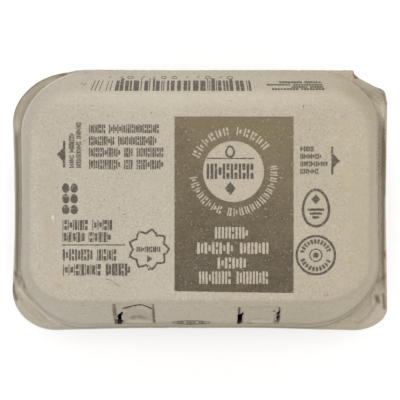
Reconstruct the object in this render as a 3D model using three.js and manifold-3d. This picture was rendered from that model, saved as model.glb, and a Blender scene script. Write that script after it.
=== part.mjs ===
// A shut half-dozen egg carton of moulded pulp, two rows of three, standing on its six cups.
// Tray, hinge, latch flap and lid are one moulding, closed all round, so the carton is one solid.
// Millimetres, +Z up. The latches face -Y and the hinge is at +Y. The origin is the bottom centre.
import * as THREE from "three";
import { mergeVertices } from "three/addons/utils/BufferGeometryUtils.js";
import Module from "manifold-3d";

const wasm = await Module();
wasm.setup();

// Driving dimensions
const LENGTH = 152.2; // over the tray's flange, along X
const WIDTH = 105.8; // over the tray's flange, along Y
const HEIGHT = 70; // floor to the top of the lid
const RIM = 36.5; // floor to the top of the tray's flange
const SEAM = 0.6; // open line between the flange and the lid's lower edge
const SEAM_DEPTH = 2.2;
const FLANGE_THICKNESS = 1.7;
const HINGE_PROUD = 0.9; // how far the hinge stands out behind the flange
const CUP_PITCH_X = 48;
const CUP_PITCH_Y = 46.8;
const CUP_FOOT_RADIUS = 10; // the flat that the carton stands on
const WEB = 20; // floor to the underside of the webs that join the cups
const WEB_CUP_RADIUS = 18.5; // a cup's radius at the webs

// How finely an outline is divided
const CORNER_STEPS = 7;
const LONG_STEPS = 20;
const SHORT_STEPS = 12;

const lerp = THREE.MathUtils.lerp;
const smoothstep = THREE.MathUtils.smoothstep;

// An outline in plan has four sides and four elliptical corners, each corner as [radius along X, along Y].
// A bow is how far the middle of a side is drawn in.
const flangeOutline = {
  right: LENGTH / 2,
  back: WIDTH / 2 - HINGE_PROUD,
  left: -LENGTH / 2,
  front: -WIDTH / 2,
  corners: {
    backRight: [14, 12.4],
    backLeft: [26, 20.5],
    frontLeft: [17.5, 16.5],
    frontRight: [14, 9],
  },
  bow: { right: 0.5, back: 0.3, left: 0.7, front: 0.9 },
};
const lidEdgeOutline = {
  right: 72.4,
  back: 52.3,
  left: -72.6,
  front: -51.6,
  corners: {
    backRight: [27, 22.5],
    backLeft: [29, 25],
    frontLeft: [26, 26],
    frontRight: [30, 26],
  },
  bow: { right: 0.2, back: 0.2, left: 0.3, front: 0.5 },
};
const plateauOutline = {
  right: 66.6,
  back: 42.1,
  left: -66.9,
  front: -40.2,
  corners: {
    backRight: [21, 18],
    backLeft: [20, 18],
    frontLeft: [17, 14],
    frontRight: [20, 15],
  },
  bow: { right: 0, back: 0, left: 0, front: 0 },
};
const trayTopOutline = symmetricOutline(71.7, 48.9, [24, 22]);
const trayWebOutline = symmetricOutline(
  CUP_PITCH_X + WEB_CUP_RADIUS,
  CUP_PITCH_Y / 2 + WEB_CUP_RADIUS,
  [WEB_CUP_RADIUS, WEB_CUP_RADIUS],
);

function symmetricOutline(halfLength, halfWidth, corner) {
  return {
    right: halfLength,
    back: halfWidth,
    left: -halfLength,
    front: -halfWidth,
    corners: {
      backRight: corner,
      backLeft: corner,
      frontLeft: corner,
      frontRight: corner,
    },
    bow: { right: 0, back: 0, left: 0, front: 0 },
  };
}

// The outline a share of the way from one to another.
function between(from, to, share) {
  const mix = (a, b) =>
    typeof a === "number"
      ? lerp(a, b, share)
      : Array.isArray(a)
        ? a.map((value, i) => mix(value, b[i]))
        : Object.fromEntries(Object.keys(a).map((key) => [key, mix(a[key], b[key])]));
  return mix(from, to);
}

// The outline drawn in by a distance all round, with its corners staying round.
function inset(outline, distance) {
  const corners = {};
  for (const [name, radii] of Object.entries(outline.corners))
    corners[name] = radii.map((radius) => Math.max(radius - distance, 2));
  return {
    right: outline.right - distance,
    back: outline.back - distance,
    left: outline.left + distance,
    front: outline.front + distance,
    corners,
    bow: outline.bow,
  };
}

// The points of an outline, anticlockwise from above, each with the side or corner it belongs to
// and its share of the way along it.
function outlinePoints({ right, back, left, front, corners, bow }) {
  const points = [];
  const corner = (name, startDegrees, centreX, centreY) => {
    const [radiusX, radiusY] = corners[name];
    for (let i = 0; i <= CORNER_STEPS; i++) {
      const along = i / CORNER_STEPS;
      const angle = THREE.MathUtils.degToRad(startDegrees + 90 * along);
      const x = centreX + radiusX * Math.cos(angle);
      const y = centreY + radiusY * Math.sin(angle);
      points.push({ x, y, place: name, along });
    }
  };
  const side = (name, steps, from, to, inward) => {
    for (let i = 1; i < steps; i++) {
      const along = i / steps;
      const drawnIn = bow[name] * 4 * along * (1 - along);
      const x = lerp(from[0], to[0], along) + inward[0] * drawnIn;
      const y = lerp(from[1], to[1], along) + inward[1] * drawnIn;
      points.push({ x, y, place: name, along });
    }
  };
  const { backRight, backLeft, frontLeft, frontRight } = corners;
  side("right", SHORT_STEPS, [right, front + frontRight[1]], [right, back - backRight[1]], [-1, 0]);
  corner("backRight", 0, right - backRight[0], back - backRight[1]);
  side("back", LONG_STEPS, [right - backRight[0], back], [left + backLeft[0], back], [0, -1]);
  corner("backLeft", 90, left + backLeft[0], back - backLeft[1]);
  side("left", SHORT_STEPS, [left, back - backLeft[1]], [left, front + frontLeft[1]], [1, 0]);
  corner("frontLeft", 180, left + frontLeft[0], front + frontLeft[1]);
  side("front", LONG_STEPS, [left + frontLeft[0], front], [right - frontRight[0], front], [0, 1]);
  corner("frontRight", 270, right - frontRight[0], front + frontRight[1]);
  return points;
}

// An outline's points at one height, as a ring for a loft.
const ring = (outline, z) => outlinePoints(outline).map(({ x, y }) => [x, y, z]);

// A closed solid through rings with the same number of points, from the lowest to the highest.
function loft(rings) {
  const count = rings[0].length;
  const index = [];
  for (let r = 0; r + 1 < rings.length; r++)
    for (let i = 0; i < count; i++) {
      const low = r * count + i;
      const lowNext = r * count + ((i + 1) % count);
      index.push(low, lowNext, lowNext + count, low, lowNext + count, low + count);
    }
  const cap = (points, first, facesUp) => {
    const flat = points.map(([x, y]) => new THREE.Vector2(x, y));
    for (const [a, b, c] of THREE.ShapeUtils.triangulateShape(flat, []))
      index.push(first + a, first + (facesUp ? b : c), first + (facesUp ? c : b));
  };
  cap(rings[0], 0, false);
  cap(rings.at(-1), (rings.length - 1) * count, true);
  const geometry = new THREE.BufferGeometry();
  geometry.setAttribute("position", new THREE.Float32BufferAttribute(rings.flat(2), 3));
  geometry.setIndex(index);
  return geometry;
}

// A closed geometry as a solid that can be joined and cut.
function solid(geometry) {
  const bare = geometry.clone();
  bare.deleteAttribute("normal");
  bare.deleteAttribute("uv");
  const merged = mergeVertices(bare, 1e-4);
  return new wasm.Manifold(
    new wasm.Mesh({
      numProp: 3,
      vertProperties: merged.attributes.position.array,
      triVerts: new Uint32Array(merged.index.array),
    }),
  );
}

function geometryOf(manifold) {
  const { vertProperties, triVerts } = manifold.getMesh();
  const geometry = new THREE.BufferGeometry();
  geometry.setAttribute("position", new THREE.BufferAttribute(vertProperties, 3));
  geometry.setIndex(new THREE.BufferAttribute(triVerts, 1));
  return geometry;
}

// The lid: a beaded lower edge, drafted walls that lean in more towards the top, a rounded shoulder
// and a nearly flat top. drawnIn gives the same form with its walls that much further in.
const LID_FOOT = RIM + SEAM;
const BEAD_HEIGHT = 2.2;
const BEAD_PROUD = 0.8;
const BEAD_ROUNDING = 0.5;
const SHOULDER = 2.2; // how far down the walls the rounding starts
const STRAIGHT_SHARE = 0.6; // of the walls' lean, what is even; the rest gathers towards the top
const WALL_LEVELS = 5;
// The rounding over the shoulder: how far in from the top of the walls, and how far below the top.
const SHOULDER_STEPS = [[0.8, 0.85], [2.2, 0.3], [10, 0.05]];

function lidSolid(drawnIn) {
  const wallTop = HEIGHT - SHOULDER;
  const rings = [
    ring(inset(lidEdgeOutline, drawnIn + BEAD_ROUNDING), LID_FOOT),
    ring(inset(lidEdgeOutline, drawnIn), LID_FOOT + BEAD_ROUNDING),
    ring(inset(lidEdgeOutline, drawnIn), LID_FOOT + BEAD_HEIGHT - BEAD_ROUNDING),
  ];
  const wallFoot = inset(lidEdgeOutline, BEAD_PROUD);
  for (let level = 0; level <= WALL_LEVELS; level++) {
    const share = level / WALL_LEVELS;
    const lean = STRAIGHT_SHARE * share + (1 - STRAIGHT_SHARE) * share ** 3;
    const outline = inset(between(wallFoot, plateauOutline, lean), drawnIn);
    rings.push(ring(outline, lerp(LID_FOOT + BEAD_HEIGHT, wallTop, share)));
  }
  for (const [inwards, below] of SHOULDER_STEPS)
    rings.push(ring(inset(plateauOutline, drawnIn + inwards), HEIGHT - below));
  return solid(loft(rings));
}

// The flange round the tray's rim. It lies flat at the corners. Along both ends it dips into a
// shallow trough beside the lid, between a narrow lip and the lid's lower edge. Its back right corner
// is crushed: creased down, and drawn in where it tore beside the hinge.
const TROUGH_DEPTH = 3;
// The shares of an end's length at which its trough begins and is full, from either corner.
const TROUGH_RUN_OUT = { left: [0.02, 0.12], right: [0.06, 0.15] };
const CRUSH_DROP = 5;
const FLANGE_ROOT = 6.4; // how far in from its edge the flange meets the body
const UNDERSIDE = RIM - FLANGE_THICKNESS;
// The flange's section, from below out round its edge and back in over its top: how far in from its
// edge, the height, and how far down the ends' trough takes it.
const flangeSection = [
  [5.2, RIM - 4.3, 0],
  [0.6, UNDERSIDE, 0.8],
  [0, UNDERSIDE + 0.4, 0],
  [0, RIM - 0.5, 0],
  [0.4, RIM, 0],
  [1.2, RIM - 0.2, TROUGH_DEPTH / 2],
  [2.1, RIM, TROUGH_DEPTH],
  [3.6, RIM, TROUGH_DEPTH],
  [4.4, RIM, 0],
  [FLANGE_ROOT, RIM, 0],
];
const crushedEdge = new THREE.SplineCurve(
  [[76.1, 39.6], [75.2, 44.4], [71, 46.6], [65.4, 49.5], [62.1, 52]].map(
    ([x, y]) => new THREE.Vector2(x, y),
  ),
);

function flangeRing([inwards, height, dip]) {
  const root = outlinePoints(inset(flangeOutline, FLANGE_ROOT));
  return outlinePoints(inset(flangeOutline, inwards)).map(({ x, y, place, along }, i) => {
    const reach = inwards / FLANGE_ROOT;
    let z = height;
    if (place === "backRight") {
      const edge = crushedEdge.getPoint(along);
      x = lerp(edge.x, root[i].x, reach);
      y = lerp(edge.y, root[i].y, reach);
      z -= CRUSH_DROP * Math.sin(Math.PI * along) * (1 - reach) ** 2;
    }
    if (place in TROUGH_RUN_OUT)
      z -= dip * smoothstep(Math.min(along, 1 - along), ...TROUGH_RUN_OUT[place]);
    return [x, y, z];
  });
}

const flangeSolid = () => solid(loft(flangeSection.map(flangeRing)));

// The upper tray, from the webs to the flange. Its walls follow the cups low down, with a valley
// between each two, and straighten towards the rim.
const VALLEY_DEPTH = 9;
const TRAY_TOP = RIM - 3.3;
const TRAY_LEVELS = 5;

function trayRing(z) {
  const share = (z - WEB) / (TRAY_TOP - WEB);
  const base = between(trayWebOutline, trayTopOutline, share);
  const cupRadius = lerp(WEB_CUP_RADIUS, trayTopOutline.back - CUP_PITCH_Y / 2, share);
  const deepest = VALLEY_DEPTH * (1 - smoothstep(z, WEB, TRAY_TOP));
  const valley = (fromCupCentre) => {
    const open = cupRadius - Math.sqrt(Math.max(cupRadius ** 2 - fromCupCentre ** 2, 0));
    return deepest * (1 - Math.exp(-open / Math.max(deepest, 0.01)));
  };
  return outlinePoints(base).map(({ x, y }) => {
    const outerX = Math.abs(x) > base.right - 0.01;
    const outerY = Math.abs(y) > base.back - 0.01;
    const alongX = Math.abs(Math.abs(x) - (Math.abs(x) > CUP_PITCH_X / 2 ? CUP_PITCH_X : 0));
    const alongY = CUP_PITCH_Y / 2 - Math.abs(y);
    if (outerY && Math.abs(x) < CUP_PITCH_X) y -= Math.sign(y) * valley(alongX);
    if (outerX && alongY > 0) x -= Math.sign(x) * valley(alongY);
    return [x, y, z];
  });
}

function upperTraySolid() {
  const rings = [];
  for (let level = 0; level <= TRAY_LEVELS; level++)
    rings.push(trayRing(lerp(WEB, TRAY_TOP, level / TRAY_LEVELS)));
  return solid(loft(rings));
}

// A turned solid about the Z axis from a profile of [radius, height], closed on the axis.
function turned(profile, segments) {
  const points = profile.map(([radius, z]) => new THREE.Vector2(radius, z));
  return new THREE.LatheGeometry(points, segments).rotateX(Math.PI / 2);
}

// One cup: a flat foot, a rounded heel and a tapering wall that runs into the webs.
const CUP_SEGMENTS = 28;
const CUP_TOP = WEB + 0.8;
const CUP_STEP = 0.6; // the small step where a cup meets the webs
const cupProfile = [
  [0, 0],
  [CUP_FOOT_RADIUS, 0],
  [CUP_FOOT_RADIUS + 1.8, 0.5],
  [CUP_FOOT_RADIUS + 3, 2],
  [CUP_FOOT_RADIUS + 3.6, 4],
  [WEB_CUP_RADIUS - CUP_STEP, CUP_TOP],
  [0, CUP_TOP],
];

const cupSolid = (x, y) => solid(turned(cupProfile, CUP_SEGMENTS).translate(x, y, 0));

// The hollow of a post, open below, where four cups meet.
const POST_SEGMENTS = 18;
const POST_MOUTH_RADIUS = 7;
const POST_TIP_RADIUS = 4.4;
const POST_TOP = 46;
const postProfile = [
  [0, WEB - 1],
  [POST_MOUTH_RADIUS + 0.4, WEB - 1],
  [POST_MOUTH_RADIUS, WEB + 1],
  [POST_TIP_RADIUS, POST_TOP - 3],
  [POST_TIP_RADIUS - 1.4, POST_TOP - 0.8],
  [0, POST_TOP],
];

const postHollow = (x) => solid(turned(postProfile, POST_SEGMENTS).translate(x, 0, 0));

// What joins lid and tray inside the seam, close to the surface at the hinge and further in elsewhere.
const NECK_BEHIND = 51; // how far back it reaches under the hinge
const NECK_HEIGHTS = [RIM - 1, RIM + 4];

function neckSolid() {
  const outline = { ...inset(lidEdgeOutline, SEAM_DEPTH), back: NECK_BEHIND };
  return solid(loft(NECK_HEIGHTS.map((z) => ring(outline, z))));
}

// The hinge: a soft roll along the back edge, up to the tear at the crushed corner.
const HINGE_RADIUS = 2;
const HINGE_ENDS = [-54.5, 62.6];
const HINGE_HEIGHT = RIM + 0.4;

function hingeSolid() {
  const [from, to] = HINGE_ENDS;
  const roll = new THREE.CapsuleGeometry(HINGE_RADIUS, to - from - 2 * HINGE_RADIUS, 3, 12);
  roll.rotateZ(Math.PI / 2);
  roll.translate((from + to) / 2, WIDTH / 2 - HINGE_RADIUS, HINGE_HEIGHT);
  return solid(roll);
}

// The two latches: a window in the lid's front wall, filled by an arched tab of the flap behind it.
// Beside each tab the window stays open in narrow gaps. Places are along X, heights from the floor.
const WINDOW_DEPTH = 1.2;
const GAP_DEPTH = 9;
const TAB_BELOW_SKIN = 0.7;
const TAB_FOOT = 0.5; // how far below its window a tab reaches
const PRISM_REACH = 30; // more than any depth cut from the front
const latches = [
  {
    window: { left: -34.3, right: -18, bottom: 41, top: 67.3 },
    tab: { left: -30.7, right: -18.7, shoulder: 60.9, peak: 64.6, peakAt: -23.4 },
    gaps: [
      [[-33.5, 48.9], [-33.3, 44.5], [-32.6, 42.5], [-31.6, 42.5], [-31.3, 50.8], [-30.3, 58.2],
        [-30.7, 58], [-32.3, 54.7]],
    ],
    dish: { centre: -24.8, height: 48.6, halfSizes: [5.2, 2, 5] },
  },
  {
    window: { left: 14.9, right: 31.7, bottom: 41, top: 65 },
    tab: { left: 17.2, right: 30.1, shoulder: 58.2, peak: 60.4, peakAt: 23 },
    gaps: [
      [[15.4, 52.9], [14.9, 49.3], [15.1, 42], [16.9, 42], [16.8, 49.3], [17.3, 56.6],
        [17.1, 57.2], [16, 54.5]],
      [[30.7, 51.9], [31, 42.5], [31.6, 42.5], [31.6, 57.2], [30.9, 57.2], [30.3, 55.8]],
    ],
    dish: { centre: 23.5, height: 46.6, halfSizes: [4, 1.2, 3] },
  },
];

// A shape drawn on the front, in X and Z, as a prism that runs well through the front wall.
function frontPrism(shape) {
  const options = { depth: PRISM_REACH, bevelEnabled: false, curveSegments: 6 };
  const prism = new THREE.ExtrudeGeometry(shape, options);
  return solid(prism.rotateX(Math.PI / 2).translate(0, -PRISM_REACH, 0));
}

const outlineShape = (corners) => new THREE.Shape(corners.map(([x, z]) => new THREE.Vector2(x, z)));

function windowPrism({ left, right, bottom, top }) {
  return frontPrism(outlineShape([[left, bottom], [right, bottom], [right, top], [left, top]]));
}

function tabPrism({ left, right, shoulder, peak, peakAt }, bottom) {
  const shape = new THREE.Shape();
  shape.moveTo(left, bottom - TAB_FOOT);
  shape.lineTo(right, bottom - TAB_FOOT);
  shape.lineTo(right, shoulder);
  shape.quadraticCurveTo(right, peak, peakAt, peak);
  shape.quadraticCurveTo(left, peak, left, shoulder);
  return frontPrism(shape);
}

// A shallow thumb dish pressed into a tab's face, leaning back with it.
const DISH_LEAN = THREE.MathUtils.degToRad(20);
const DISH_INWARDS = 3.4; // from the lid's front edge to a dish's centre

function dishSolid({ centre, height, halfSizes }) {
  const dish = new THREE.SphereGeometry(1, 14, 9).scale(...halfSizes).rotateX(-DISH_LEAN);
  return solid(dish.translate(centre, lidEdgeOutline.front + DISH_INWARDS, height));
}

function cartonSolid() {
  let carton = lidSolid(0)
    .add(neckSolid())
    .add(flangeSolid())
    .add(upperTraySolid())
    .add(hingeSolid());
  for (const x of [-CUP_PITCH_X, 0, CUP_PITCH_X])
    for (const y of [-CUP_PITCH_Y / 2, CUP_PITCH_Y / 2]) carton = carton.add(cupSolid(x, y));
  for (const x of [-CUP_PITCH_X / 2, CUP_PITCH_X / 2]) carton = carton.subtract(postHollow(x));
  const windowBack = lidSolid(WINDOW_DEPTH);
  const gapBack = lidSolid(GAP_DEPTH);
  const tabFace = lidSolid(TAB_BELOW_SKIN);
  for (const { window, tab, gaps, dish } of latches) {
    carton = carton.subtract(windowPrism(window).subtract(windowBack));
    for (const gap of gaps)
      carton = carton.subtract(frontPrism(outlineShape(gap)).subtract(gapBack));
    const face = tabPrism(tab, window.bottom).intersect(tabFace);
    carton = carton.add(face.subtract(dishSolid(dish)));
  }
  return carton;
}

const pulp = new THREE.MeshStandardMaterial({ color: 0xbfb5a4, roughness: 0.95, metalness: 0 });
const carton = new THREE.Mesh(geometryOf(cartonSolid()), pulp);
carton.geometry.computeVertexNormals();
carton.name = "carton";

const eggCarton = new THREE.Group();
eggCarton.add(carton);

export default eggCarton;
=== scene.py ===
# A shut half-dozen egg carton of moulded pulp, printed in brown and dark ink, seen from straight above.
# Lengths are in millimetres until MM turns them into metres.
import math

import bpy
import numpy as np
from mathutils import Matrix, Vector, noise
from mathutils.geometry import delaunay_2d_cdt


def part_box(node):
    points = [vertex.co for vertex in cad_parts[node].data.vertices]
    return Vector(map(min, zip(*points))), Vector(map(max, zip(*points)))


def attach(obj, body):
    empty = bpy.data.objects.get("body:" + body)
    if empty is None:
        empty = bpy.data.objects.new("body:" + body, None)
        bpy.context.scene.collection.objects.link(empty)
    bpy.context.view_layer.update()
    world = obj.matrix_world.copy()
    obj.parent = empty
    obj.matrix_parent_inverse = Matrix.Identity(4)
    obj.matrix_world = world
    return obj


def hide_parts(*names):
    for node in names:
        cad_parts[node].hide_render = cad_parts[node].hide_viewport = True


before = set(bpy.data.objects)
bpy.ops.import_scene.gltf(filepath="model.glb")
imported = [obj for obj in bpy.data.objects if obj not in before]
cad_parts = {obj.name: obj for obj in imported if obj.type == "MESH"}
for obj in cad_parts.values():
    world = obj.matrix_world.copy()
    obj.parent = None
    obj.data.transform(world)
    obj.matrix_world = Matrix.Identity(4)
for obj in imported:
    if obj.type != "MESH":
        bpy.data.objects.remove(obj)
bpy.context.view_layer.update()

MM = 0.001
low, high = (np.array(corner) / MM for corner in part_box("carton"))

# Main sizes of the carton, the same as the solid's
LENGTH = high[0] - low[0]
WIDTH = high[1] - low[1]
HEIGHT = 70.0
RIM = 36.5  # floor to the top of the tray's flange
SEAM = 0.6  # open line between the flange and the lid's lower edge
LID_FOOT = RIM + SEAM
BEAD_HEIGHT = 2.2
BEAD_PROUD = 0.8
SHOULDER = 2.2
WALL_TOP = HEIGHT - SHOULDER
STRAIGHT_SHARE = 0.6  # of the walls' lean, what is even; the rest gathers towards the top
PULP = 1.9  # thickness of the moulded wall
CUPS_ALONG = 3
CUPS_ACROSS = 2
CUP_PITCH_X = 48.0
CUP_PITCH_Y = 46.8
CUP_FOOT_RADIUS = 10.0
WEB = 20.0  # floor to the underside of the webs that join the cups
WEB_CUP_RADIUS = 18.5
HINGE_PROUD = 0.9

# An outline in plan: four sides, four elliptical corners as (radius along X, along Y), and how far
# the middle of each side bows inwards
FLANGE = dict(
    right=LENGTH / 2, back=WIDTH / 2 - HINGE_PROUD, left=-LENGTH / 2, front=-WIDTH / 2,
    corners=dict(back_right=(14, 12.4), back_left=(26, 20.5), front_left=(17.5, 16.5),
                 front_right=(14, 9)),
    bow=dict(right=0.5, back=0.3, left=0.7, front=0.9),
)
LID_EDGE = dict(
    right=72.4, back=52.3, left=-72.6, front=-51.6,
    corners=dict(back_right=(27, 22.5), back_left=(29, 25), front_left=(26, 26),
                 front_right=(30, 26)),
    bow=dict(right=0.2, back=0.2, left=0.3, front=0.5),
)
PLATEAU = dict(
    right=66.6, back=42.1, left=-66.9, front=-40.2,
    corners=dict(back_right=(21, 18), back_left=(20, 18), front_left=(17, 14),
                 front_right=(20, 15)),
    bow=dict(right=0, back=0, left=0, front=0),
)
CORNER_NAMES = ("back_right", "back_left", "front_left", "front_right")

# The latch windows in the lid's front wall, and the tabs of the flap that fill them. A gap is an
# open place beside the tab, as (along X, height) points. A slit is the open line over the tab's arch,
# as (from, to, height at its left end, height at its right end). A shade is where the flap falls away
# beside a window's edge, as (from, to). A dish is pressed into the tab's face, and the last of its
# numbers is the strength of the painted shade laid just above the dish's foot.
LATCHES = dict(
    left=dict(
        left=-34.3, right=-18.0, bottom=41.0, top=67.3,
        tab=dict(left=-30.7, right=-18.7, shoulder=60.9, peak=64.6, peak_at=-23.4),
        gaps=[
            [(-33.5, 48.9), (-33.3, 44.5), (-32.6, 42.5), (-31.6, 42.5), (-31.3, 50.8),
             (-30.3, 58.2), (-30.7, 58.0), (-32.3, 54.7)],
        ],
        slit=(-30.6, -18.5, 0.8, 0.45),
        shades=[(-34.4, -33.4), (-18.5, -17.9)],
        dish=dict(centre=-24.8, half_width=5.3, foot=43.0, arch=11.6, depth=1.7, foot_shade=0.4),
    ),
    right=dict(
        left=14.9, right=31.7, bottom=41.0, top=65.0,
        tab=dict(left=17.2, right=30.1, shoulder=58.2, peak=60.4, peak_at=23.0),
        gaps=[
            [(15.4, 52.9), (14.9, 49.3), (15.1, 42.0), (16.9, 42.0), (16.8, 49.3), (17.3, 56.6),
             (17.1, 57.2), (16.0, 54.5)],
            [(30.2, 55.8), (30.9, 57.2), (31.6, 57.2), (31.6, 52.9), (30.7, 51.9)],
            [(30.6, 47.3), (31.0, 49.5), (31.6, 49.5), (31.6, 42.5), (31.1, 42.5)],
        ],
        slit=(28.7, 30.2, 0.3, 0.5),
        shades=[(14.8, 15.6), (31.3, 31.8)],
        dish=dict(centre=23.5, half_width=4.3, foot=43.6, arch=5.4, depth=0.9, foot_shade=0.3),
    ),
)


def smoothstep(value, low_edge, high_edge):
    share = np.clip((value - low_edge) / (high_edge - low_edge), 0, 1)
    return share * share * (3 - 2 * share)


# Outlines

def between(start, end, share):
    """The outline a share of the way from one to another."""
    if isinstance(start, dict):
        return {key: between(start[key], end[key], share) for key in start}
    if isinstance(start, tuple):
        return tuple(between(a, b, share) for a, b in zip(start, end))
    return start + (end - start) * share


def inset(outline, distance):
    """The outline drawn in by a distance all round, with its corners staying round."""
    corners = {
        name: tuple(max(radius - distance, 2) for radius in radii)
        for name, radii in outline["corners"].items()
    }
    return dict(
        right=outline["right"] - distance, back=outline["back"] - distance,
        left=outline["left"] + distance, front=outline["front"] + distance,
        corners=corners, bow=outline["bow"],
    )


def symmetric(half_length, half_width, corner):
    return dict(
        right=half_length, back=half_width, left=-half_length, front=-half_width,
        corners={name: corner for name in CORNER_NAMES},
        bow=dict(right=0, back=0, left=0, front=0),
    )


def window_columns(cell):
    """Places along the front that fall on every window's edges, about a cell apart."""
    edges = [-40.0, 40.0]
    for latch in LATCHES.values():
        edges += [latch["left"], latch["right"]]
    edges.sort()
    spans = [
        np.linspace(start, end, max(round((end - start) / cell), 1), endpoint=False)
        for start, end in zip(edges, edges[1:])
    ]
    return np.concatenate(spans + [[edges[-1]]])


def corner_points(outline, name, start_degrees, centre, share):
    """One corner of an outline: its name, its points' shares of the way round, and the points."""
    angle = np.radians(start_degrees + 90 * share)
    radius_x, radius_y = outline["corners"][name]
    return name, share, np.column_stack([
        centre[0] + radius_x * np.cos(angle), centre[1] + radius_y * np.sin(angle),
    ])


def side_points(outline, name, start, end, inward, share):
    """One side of an outline: its name, its points' shares of the way along, and the points."""
    drawn_in = outline["bow"][name] * 4 * share * (1 - share)
    return name, share, np.column_stack([
        start[0] + (end[0] - start[0]) * share + inward[0] * drawn_in,
        start[1] + (end[1] - start[1]) * share + inward[1] * drawn_in,
    ])


# About how long a corner, a short side, a long side and each end of the front without windows are
CORNER_RUN = 36
SHORT_RUN = 60
LONG_RUN = 96
FLANK_RUN = 8


class Ring:
    """How finely an outline is divided, and its points in plan, anticlockwise from the front right."""

    def __init__(self, cell):
        self.corner_steps = max(round(CORNER_RUN / cell), 4)
        self.short_steps = max(round(SHORT_RUN / cell), 6)
        self.long_steps = max(round(LONG_RUN / cell), 8)
        self.flank_steps = max(round(FLANK_RUN / cell), 2)
        self.columns = window_columns(cell)

    def front_shares(self, start, end):
        """Shares of the way along the front side that fall on the columns."""
        columns = np.concatenate([
            np.linspace(start, self.columns[0], self.flank_steps + 1)[1:-1],
            self.columns,
            np.linspace(self.columns[-1], end, self.flank_steps + 1)[1:-1],
        ])
        return (columns - start) / (end - start)

    def points(self, outline):
        """Points as an array of (x, y), with each one's side or corner and its share of the way."""
        right, back, left, front = (outline[key] for key in ("right", "back", "left", "front"))
        radii = outline["corners"]
        low_right = front + radii["front_right"][1]
        high_right = back - radii["back_right"][1]
        high_left = back - radii["back_left"][1]
        low_left = front + radii["front_left"][1]
        back_from, back_to = right - radii["back_right"][0], left + radii["back_left"][0]
        front_from, front_to = left + radii["front_left"][0], right - radii["front_right"][0]
        short = np.linspace(0, 1, self.short_steps + 1)[1:-1]
        long = np.linspace(0, 1, self.long_steps + 1)[1:-1]
        turn = np.linspace(0, 1, self.corner_steps + 1)
        along_front = self.front_shares(front_from, front_to)
        names, shares, found = zip(
            side_points(outline, "right", (right, low_right), (right, high_right), (-1, 0), short),
            corner_points(outline, "back_right", 0, (back_from, high_right), turn),
            side_points(outline, "back", (back_from, back), (back_to, back), (0, -1), long),
            corner_points(outline, "back_left", 90, (back_to, high_left), turn),
            side_points(outline, "left", (left, high_left), (left, low_left), (1, 0), short),
            corner_points(outline, "front_left", 180, (front_from, low_left), turn),
            side_points(outline, "front", (front_from, front), (front_to, front), (0, 1), along_front),
            corner_points(outline, "front_right", 270, (front_to, low_right), turn),
        )
        places = np.repeat(names, [len(share) for share in shares])
        return np.concatenate(found), places, np.concatenate(shares)

    def at(self, outline, z):
        """The outline's points at one height."""
        plan = self.points(outline)[0]
        return np.column_stack([plan, np.full(len(plan), z)])


# Mesh making

def mesh_piece(name, points, faces):
    """A new object from points in millimetres."""
    mesh = bpy.data.meshes.new(name)
    mesh.from_pydata([tuple(point) for point in np.asarray(points) * MM], [], faces)
    mesh.validate()
    mesh.update()
    piece = bpy.data.objects.new(name, mesh)
    bpy.context.scene.collection.objects.link(piece)
    return piece


def points_of(piece):
    """A piece's points in millimetres."""
    points = np.empty(len(piece.data.vertices) * 3)
    piece.data.vertices.foreach_get("co", points)
    return points.reshape(-1, 3) / MM


def band_faces(rows, count, skip=None):
    """Faces between rings of points, leaving out those for which skip(row, column) is true."""
    faces = []
    for row in range(rows - 1):
        for column in range(count):
            if skip and skip(row, column):
                continue
            start, end = row * count + column, row * count + (column + 1) % count
            faces.append((start, end, end + count, start + count))
    return faces


def closed_faces(rings):
    """Faces between rings of points, with both ends shut."""
    count = len(rings[0])
    faces = band_faces(len(rings), count)
    faces.append(tuple(range(count))[::-1])
    faces.append(tuple(range((len(rings) - 1) * count, len(rings) * count)))
    return faces


def closed_piece(name, rings):
    return mesh_piece(name, np.concatenate(rings), closed_faces(rings))


ROW_SHARE = 0.87  # rows of even triangles stand this share of a step apart
EDGE_SHARE = 0.55  # no inner point is nearer to the outline than this share of a step


def filled(boundary, step):
    """Triangles that fill a convex outline in plan with evenly spread points.

    Gives the inner points, and faces whose first indices are the outline's own points."""
    lowest, highest = boundary.min(axis=0), boundary.max(axis=0)
    rows = np.arange(lowest[1], highest[1], step * ROW_SHARE)
    lattice = []
    for row, y in enumerate(rows):
        x = np.arange(lowest[0] + (row % 2) * step / 2, highest[0], step)
        lattice.append(np.column_stack([x, np.full(len(x), y)]))
    inner = np.concatenate(lattice)
    edge = np.roll(boundary, -1, axis=0) - boundary
    outward = np.column_stack([edge[:, 1], -edge[:, 0]])
    outward /= np.linalg.norm(outward, axis=1)[:, None]
    keep = np.ones(len(inner), bool)
    for point, normal in zip(boundary[::3], outward[::3]):
        keep &= (point - inner) @ normal > step * EDGE_SHARE
    inner = inner[keep]
    flat = [Vector(point) for point in np.concatenate([boundary, inner])]
    faces = delaunay_2d_cdt(flat, [], [], 0, 1e-7)[2]
    return inner, [tuple(face) for face in faces]


def applied(piece):
    """The piece with its modifiers made real, as a plain mesh."""
    graph = bpy.context.evaluated_depsgraph_get()
    mesh = bpy.data.meshes.new_from_object(piece.evaluated_get(graph), depsgraph=graph)
    piece.modifiers.clear()
    piece.data = mesh
    return piece


def drop(piece):
    bpy.data.objects.remove(piece, do_unlink=True)


# Node trees

def input_id(tree, name):
    """The identifier of a node tree's input, which is how a modifier holds it."""
    return next(
        item.identifier for item in tree.interface.items_tree
        if item.item_type == "SOCKET" and item.in_out == "INPUT" and item.name == name
    )


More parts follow.
